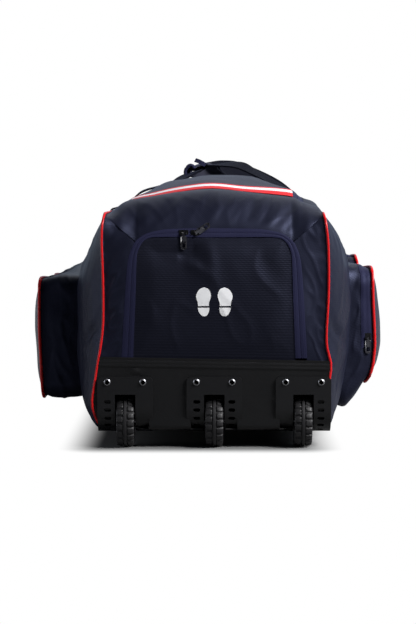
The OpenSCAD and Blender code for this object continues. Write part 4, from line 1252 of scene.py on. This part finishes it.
# Webbing sewn down the sides under each handle leg, with a stitched box and cross
for side in (-1, 1):
    for leg in (-LEG, LEG):
        y = MIDDLE + leg
        rim_x = edge(side, TOP)
        line = through(
            [(side * (side_x(side, y, z) + 3.2), y, z) for z in (296, 306, 318, 330, 340)]
            + [(side * (rim_x + out), y, TOP + up) for out, up in ((6, -3), (5, 1), (3, 3.3))], 30)
        across = [Vector((0, 1, 0))] * len(line)
        patch = band(f"handle anchor {side} {leg}", line, across, STRAP_WIDE, WEBBING_THICK)
        settle(patch, "bag", WEBBING, "webbing", "webbing_anchors")
        lift = Vector((side * 1.5, 0, 0.4))
        spots = (line[2], -15), (line[2], 15), (line[13], 15), (line[13], -15)
        corners = [spot + Vector((0, along, 0)) + lift for spot, along in spots]
        route = [corners[i] for i in (0, 1, 2, 3, 0, 2, 1, 3)]
        for k, (p, q) in enumerate(zip(route, route[1:])):
            sewn = [p.lerp(q, i / 6) for i in range(7)]
            row = stitches(f"anchor stitches {side} {leg} {k}", sewn, (side, 0, 0.25))
            settle(row, "bag", THREAD, "webbing")


# Tow handle at the far end: webbing through a moulded grip, from two sewn tabs
TOW_LEG = 85
TOW_STEPS = 70
bar = span("tow_strap")[0].z + 11
half = [
    (TOW_LEG, BACK + 5, 286), (TOW_LEG, BACK + 9, 270), (84, BACK + 18, 250), (77, BACK + 23, 233),
    (60, BACK + 24, bar), (30, BACK + 24, bar), (0, BACK + 24, bar)]
line = through(half + [(-x, y, z) for x, y, z in reversed(half[:-1])], TOW_STEPS)
across = []
for i in range(TOW_STEPS + 1):
    run = (line[min(i + 1, TOW_STEPS)] - line[max(i - 1, 0)]).normalized()
    across.append(Vector((0, 1, 0)).cross(run).normalized())
strap = band("tow strap webbing", line, across, TOW_WIDE, WEBBING_THICK)
settle(strap, "tow_handle", WEBBING, "webbing", "tow_strap")
for x in (-TOW_LEG, TOW_LEG):
    line = [Vector((x, BACK + 3.6 + 1.2 * bump(i, 0, 4), 290 + 1.4 * i)) for i in range(31)]
    tab = band(f"tow tab {x}", line, [Vector((1, 0, 0))] * 31, TOW_WIDE, WEBBING_THICK)
    settle(tab, "bag", WEBBING, "webbing", "webbing_anchors")
    for dx in (-8, 8):
        sewn = [p + Vector((dx, 1.4, 0)) for p in line[6:]]
        settle(stitches(f"tow tab stitches {x} {dx}", sewn, (0, 1, 0)), "bag", THREAD, "webbing")


def rim(piece, wide, deep):
    """Sinks the near face of a pull inside a rim."""
    nearest = min(v.co.y for v in piece.data.vertices)
    edit_faces(piece, lambda face: face.normal.y < -0.9 and face.center.y < nearest + 0.0001)
    bpy.ops.mesh.inset(thickness=wide * MM, depth=-deep * MM)
    leave()


# Tyres with a rib round the middle and rounded blocks on both sides of it
BLOCKS = 20
BLOCK_DEEP = 2.6
# How deep the tread is cut at each step from the start of one block to the next
BLOCK_CUTS = 1, 0.85, 0.12, 0, 0, 0, 0, 0, 0.12, 0.85
BLOCK_STEPS = len(BLOCK_CUTS)
AROUND = BLOCKS * BLOCK_STEPS


def tyre_place(word):
    low, high = span(f"{word}_tyre")
    centre = (low + high) / 2
    radius = (high.z - low.z) / 2
    half = (high.x - low.x) / 2
    bead = (span(f"{word}_hub")[1].x - span(f"{word}_hub")[0].x) / 2 - 1.5
    shape = [
        (-bead, 14.8, 0), (-half + 1, 8, 0), (-half, 4.6, 0.3), (-half + 0.6, 3, 0.8), (-half + 2.2, 1.9, 1),
        (-9, 1.4, 1), (-6.5, 1, 1), (-4.2, 0.8, 1), (-3.7, 1.2, 0.6), (-3.4, 2.8, 0), (-2.5, 2.8, 0),
        (-2.1, 0.6, 0), (-1.6, 0.1, 0), (0, 0, 0)]
    shape += [(-x, down, deep) for x, down, deep in reversed(shape[:-1])]

    def place(u, v):
        x, down, deep = shape[round(u * (len(shape) - 1))]
        step = round(v * AROUND)
        cut_in = BLOCK_CUTS[(step + (BLOCK_STEPS // 2 if x > 0 else 0)) % BLOCK_STEPS]
        turn = 2 * math.pi * step / AROUND
        r = radius - down - BLOCK_DEEP * deep * cut_in
        return centre.x + x, centre.y - r * math.cos(turn), centre.z + r * math.sin(turn)
    return place, len(shape) - 1, centre


for word in ("left", "middle", "right"):
    place, columns, centre = tyre_place(word)
    tyre = grid(f"{word} tyre rubber", columns, AROUND, place, centre)
    weld(tyre)
    settle(tyre, f"{word}_wheel", RUBBER, "tyre", f"{word}_tyre", angle=40)


# Hard parts keep the frame's shape with softened edges
for word in ("left", "middle", "right"):
    plate = from_cad(f"{word}_wheel_plate", f"{word} wheel plate moulding", 1.2)
    settle(plate, "bag", PLASTIC, "plastic", f"{word}_wheel_plate", angle=35)
for node in (
    "lid_slider_near", "lid_slider_far", "shoe_slider_left", "shoe_slider_right", "shoe_pull_left",
    "shoe_pull_right", "left_front_slider", "left_rear_slider", "right_front_slider", "right_front_pull",
    "right_rear_slider",
):
    piece = from_cad(node, node.replace("_", " ") + " casting", 0.35)
    if "pull" in node:
        rim(piece, 1.0, 0.5)
    settle(piece, node, GUNMETAL if "pull" in node else ENAMEL, "slider", node, angle=35)
for node, material in (
    ("wheel_housings", PLASTIC), ("left_hub", PLASTIC), ("middle_hub", PLASTIC), ("right_hub", PLASTIC),
    ("left_skid_foot", PLASTIC), ("right_skid_foot", PLASTIC), ("tow_grip", PLASTIC), ("axles", NICKEL),
    ("screws", NICKEL), ("nuts", NICKEL), ("base_board", BOARD),
):
    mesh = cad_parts[node].data
    mesh.materials.clear()
    mesh.materials.append(material)


# Painted shade of the plate screws' cross recesses: dark boxes on the bright heads stand in for the shade
# inside the hollows
SCREW_HEIGHT = 101
SCREW_ASIDE = 27
BOX_FACES = (0, 1, 2, 3), (7, 6, 5, 4), (0, 4, 5, 1), (1, 5, 6, 2), (2, 6, 7, 3), (3, 7, 4, 0)
head = span("screws")[0].y
points = []
for x in WHEELS:
    for dx in (-SCREW_ASIDE, SCREW_ASIDE):
        for wide, tall in ((3.5, 1.4), (1.4, 3.5), (2.5, 2.5), (3.1, 2.0), (2.0, 3.1)):
            for y in (head - 0.15, head + 1.2):
                for a, b in ((-1, -1), (1, -1), (1, 1), (-1, 1)):
                    points.append(Vector((x + dx + a * wide, y, SCREW_HEIGHT + b * tall)) * MM)
faces = [tuple(k + i for i in face) for k in range(0, len(points), 8) for face in BOX_FACES]
# The black enamel on these boxes is painted shade, not a finish of the screws
settle(built("plate screw recess painted shade", points, faces), "bag", ENAMEL, "steel")


# A pair of plain sole prints on the flap, each a heel and a front
SOLE_FOOT = 201
SOLE_LONG = 44
SOLE_ASIDE = 15
INK_LIFT = 0.35


def sole_half(t):
    """Gives half the width of a sole at a fraction of its length, from the heel."""
    waist = 1 + 0.25 * smooth(0.45, 0.75, t) - 0.12 * bump(t, 0.42, 0.14)
    return 9.5 * math.sqrt(max(0, 1 - abs(2 * t - 1) ** 2.6)) * waist


def sole_place(side, start, end):
    def place(u, v):
        t = mix(start, end, v)
        x = side * SOLE_ASIDE + (2 * u - 1) * sole_half(t) + side * 1.5 * math.sin(math.pi * t)
        z = SOLE_FOOT + SOLE_LONG * t
        return x, flap_face(x, z) - INK_LIFT, z
    return place


for side in (-1, 1):
    for part, start, end in (("heel", 0.0, 0.3), ("front", 0.36, 1.0)):
        sole = grid(f"sole print {part} {side}", 10, 16, sole_place(side, start, end))
        settle(sole, "shoe_flap", INK, "navy_fabric")


# Stage: a white floor that keeps the shadow and fades into the backdrop, soft lights and the camera
def seen_white(tree, behind):
    """Gives 1 where the stage is white: for the camera everywhere, and for reflections behind the bag."""
    lit = add_node(tree, "LightPath").outputs
    reflected = maths(tree, "MAXIMUM", lit["Is Glossy Ray"], lit["Is Transmission Ray"])
    return maths(tree, "MAXIMUM", lit["Is Camera Ray"], maths(tree, "MULTIPLY", reflected, behind))


def ramp(tree, value, start, end, top=1.0, **settings):
    """Adds a node that rises from 0 to its top between two values and gives its outcome."""
    sockets = {"Value": value, "From Min": start, "From Max": end, "To Max": top}
    return add_node(tree, "MapRange", sockets, **settings).outputs[0]


WHITE = (1, 1, 1, 1)
# Middle and half of the shadow's core on the floor, and how far it takes to fade, in metres
SHADOW_MIDDLE = (-0.02, MIDDLE * MM, 0.0)
SHADOW_HALF = (0.15, LENGTH / 2 * MM, 0.0)
SHADOW_FADE = 0.07
bpy.ops.mesh.primitive_plane_add(size=8, location=(0, 0, 0))
floor = bpy.context.object
floor.name = "white floor"
material, tree, shader = new_material("white studio floor")
tree.nodes.remove(shader)
place = add_node(tree, "TexCoord").outputs["Object"]
folded = vectors(tree, "ABSOLUTE", vectors(tree, "SUBTRACT", place, SHADOW_MIDDLE))
outside = vectors(tree, "MAXIMUM", vectors(tree, "SUBTRACT", folded, SHADOW_HALF), (0.0, 0.0, 0.0))
away = vectors(tree, "LENGTH", outside, outcome="Value")
fade = ramp(tree, away, 0.0, SHADOW_FADE, interpolation_type="SMOOTHSTEP")
behind = ramp(tree, add_node(tree, "SeparateXYZ", {"Vector": place}).outputs["Y"], 0.2, 0.8)
seen = maths(tree, "MULTIPLY", fade, seen_white(tree, behind))
paper = add_node(tree, "BsdfDiffuse", {"Color": (0.2, 0.2, 0.2, 1)}).outputs[0]
glow = add_node(tree, "Emission", {"Color": WHITE, "Strength": 1.0}).outputs[0]
both = add_node(tree, "MixShader", {0: seen, 1: paper, 2: glow}).outputs[0]
fill(tree, tree.nodes["Material Output"], {"Surface": both})
floor.data.materials.append(material)

world = bpy.data.worlds.new("studio")
bpy.context.scene.world = world
world.use_nodes = True
tree = world.node_tree
way = add_node(tree, "TexCoord").outputs["Generated"]
behind = ramp(tree, add_node(tree, "SeparateXYZ", {"Vector": way}).outputs["Y"], 0.5, 0.95, 0.58)
seen = add_node(tree, "LightPath").outputs["Is Camera Ray"]
fill(tree, tree.nodes["Background"], {
    "Strength": mixed(tree, seen_white(tree, behind), 0.05, 1.0),
    "Color": mixed(tree, seen, (0.68, 0.82, 1, 1), WHITE, "RGBA")})


def softbox(name, place, target, wide, high, power, tint=(1.0, 1.0, 1.0)):
    """Adds a square light that looks at a target."""
    bpy.ops.object.light_add(type="AREA", location=place)
    lamp = bpy.context.object
    lamp.name = name
    lamp.data.shape = "RECTANGLE"
    lamp.data.size = wide
    lamp.data.size_y = high
    lamp.data.energy = power
    lamp.data.color = tint
    lamp.rotation_euler = (Vector(target) - Vector(place)).to_track_quat("-Z", "Y").to_euler()


softbox("key softbox", (1.8, -1.45, 1.8), (0.0, -0.4, 0.25), 1.0, 1.0, 116)
softbox("overhead softbox", (0.2, 1.5, 2.1), (0.0, 0.0, 0.35), 2.2, 1.6, 9)
softbox("left fill", (-2.5, -0.7, 0.6), (0.0, -0.3, 0.2), 1.0, 1.0, 15, (0.9, 0.93, 1.0))
softbox("right rim", (2.3, -0.2, 1.4), (0.0, -0.1, 0.25), 1.0, 1.4, 19, (0.85, 0.9, 1.0))

# The camera's place in metres and its downward tilt in degrees
EYE = -0.0095, FRONT * MM - 3.137, 0.391
TILT = 3.356
bpy.ops.object.camera_add(location=EYE, rotation=(math.radians(90 - TILT), 0, 0))
camera = bpy.context.object
camera.data.sensor_fit = "VERTICAL"
camera.data.sensor_height = 36
camera.data.lens = 120
bpy.context.scene.camera = camera
bpy.context.scene.view_settings.view_transform = "Standard"
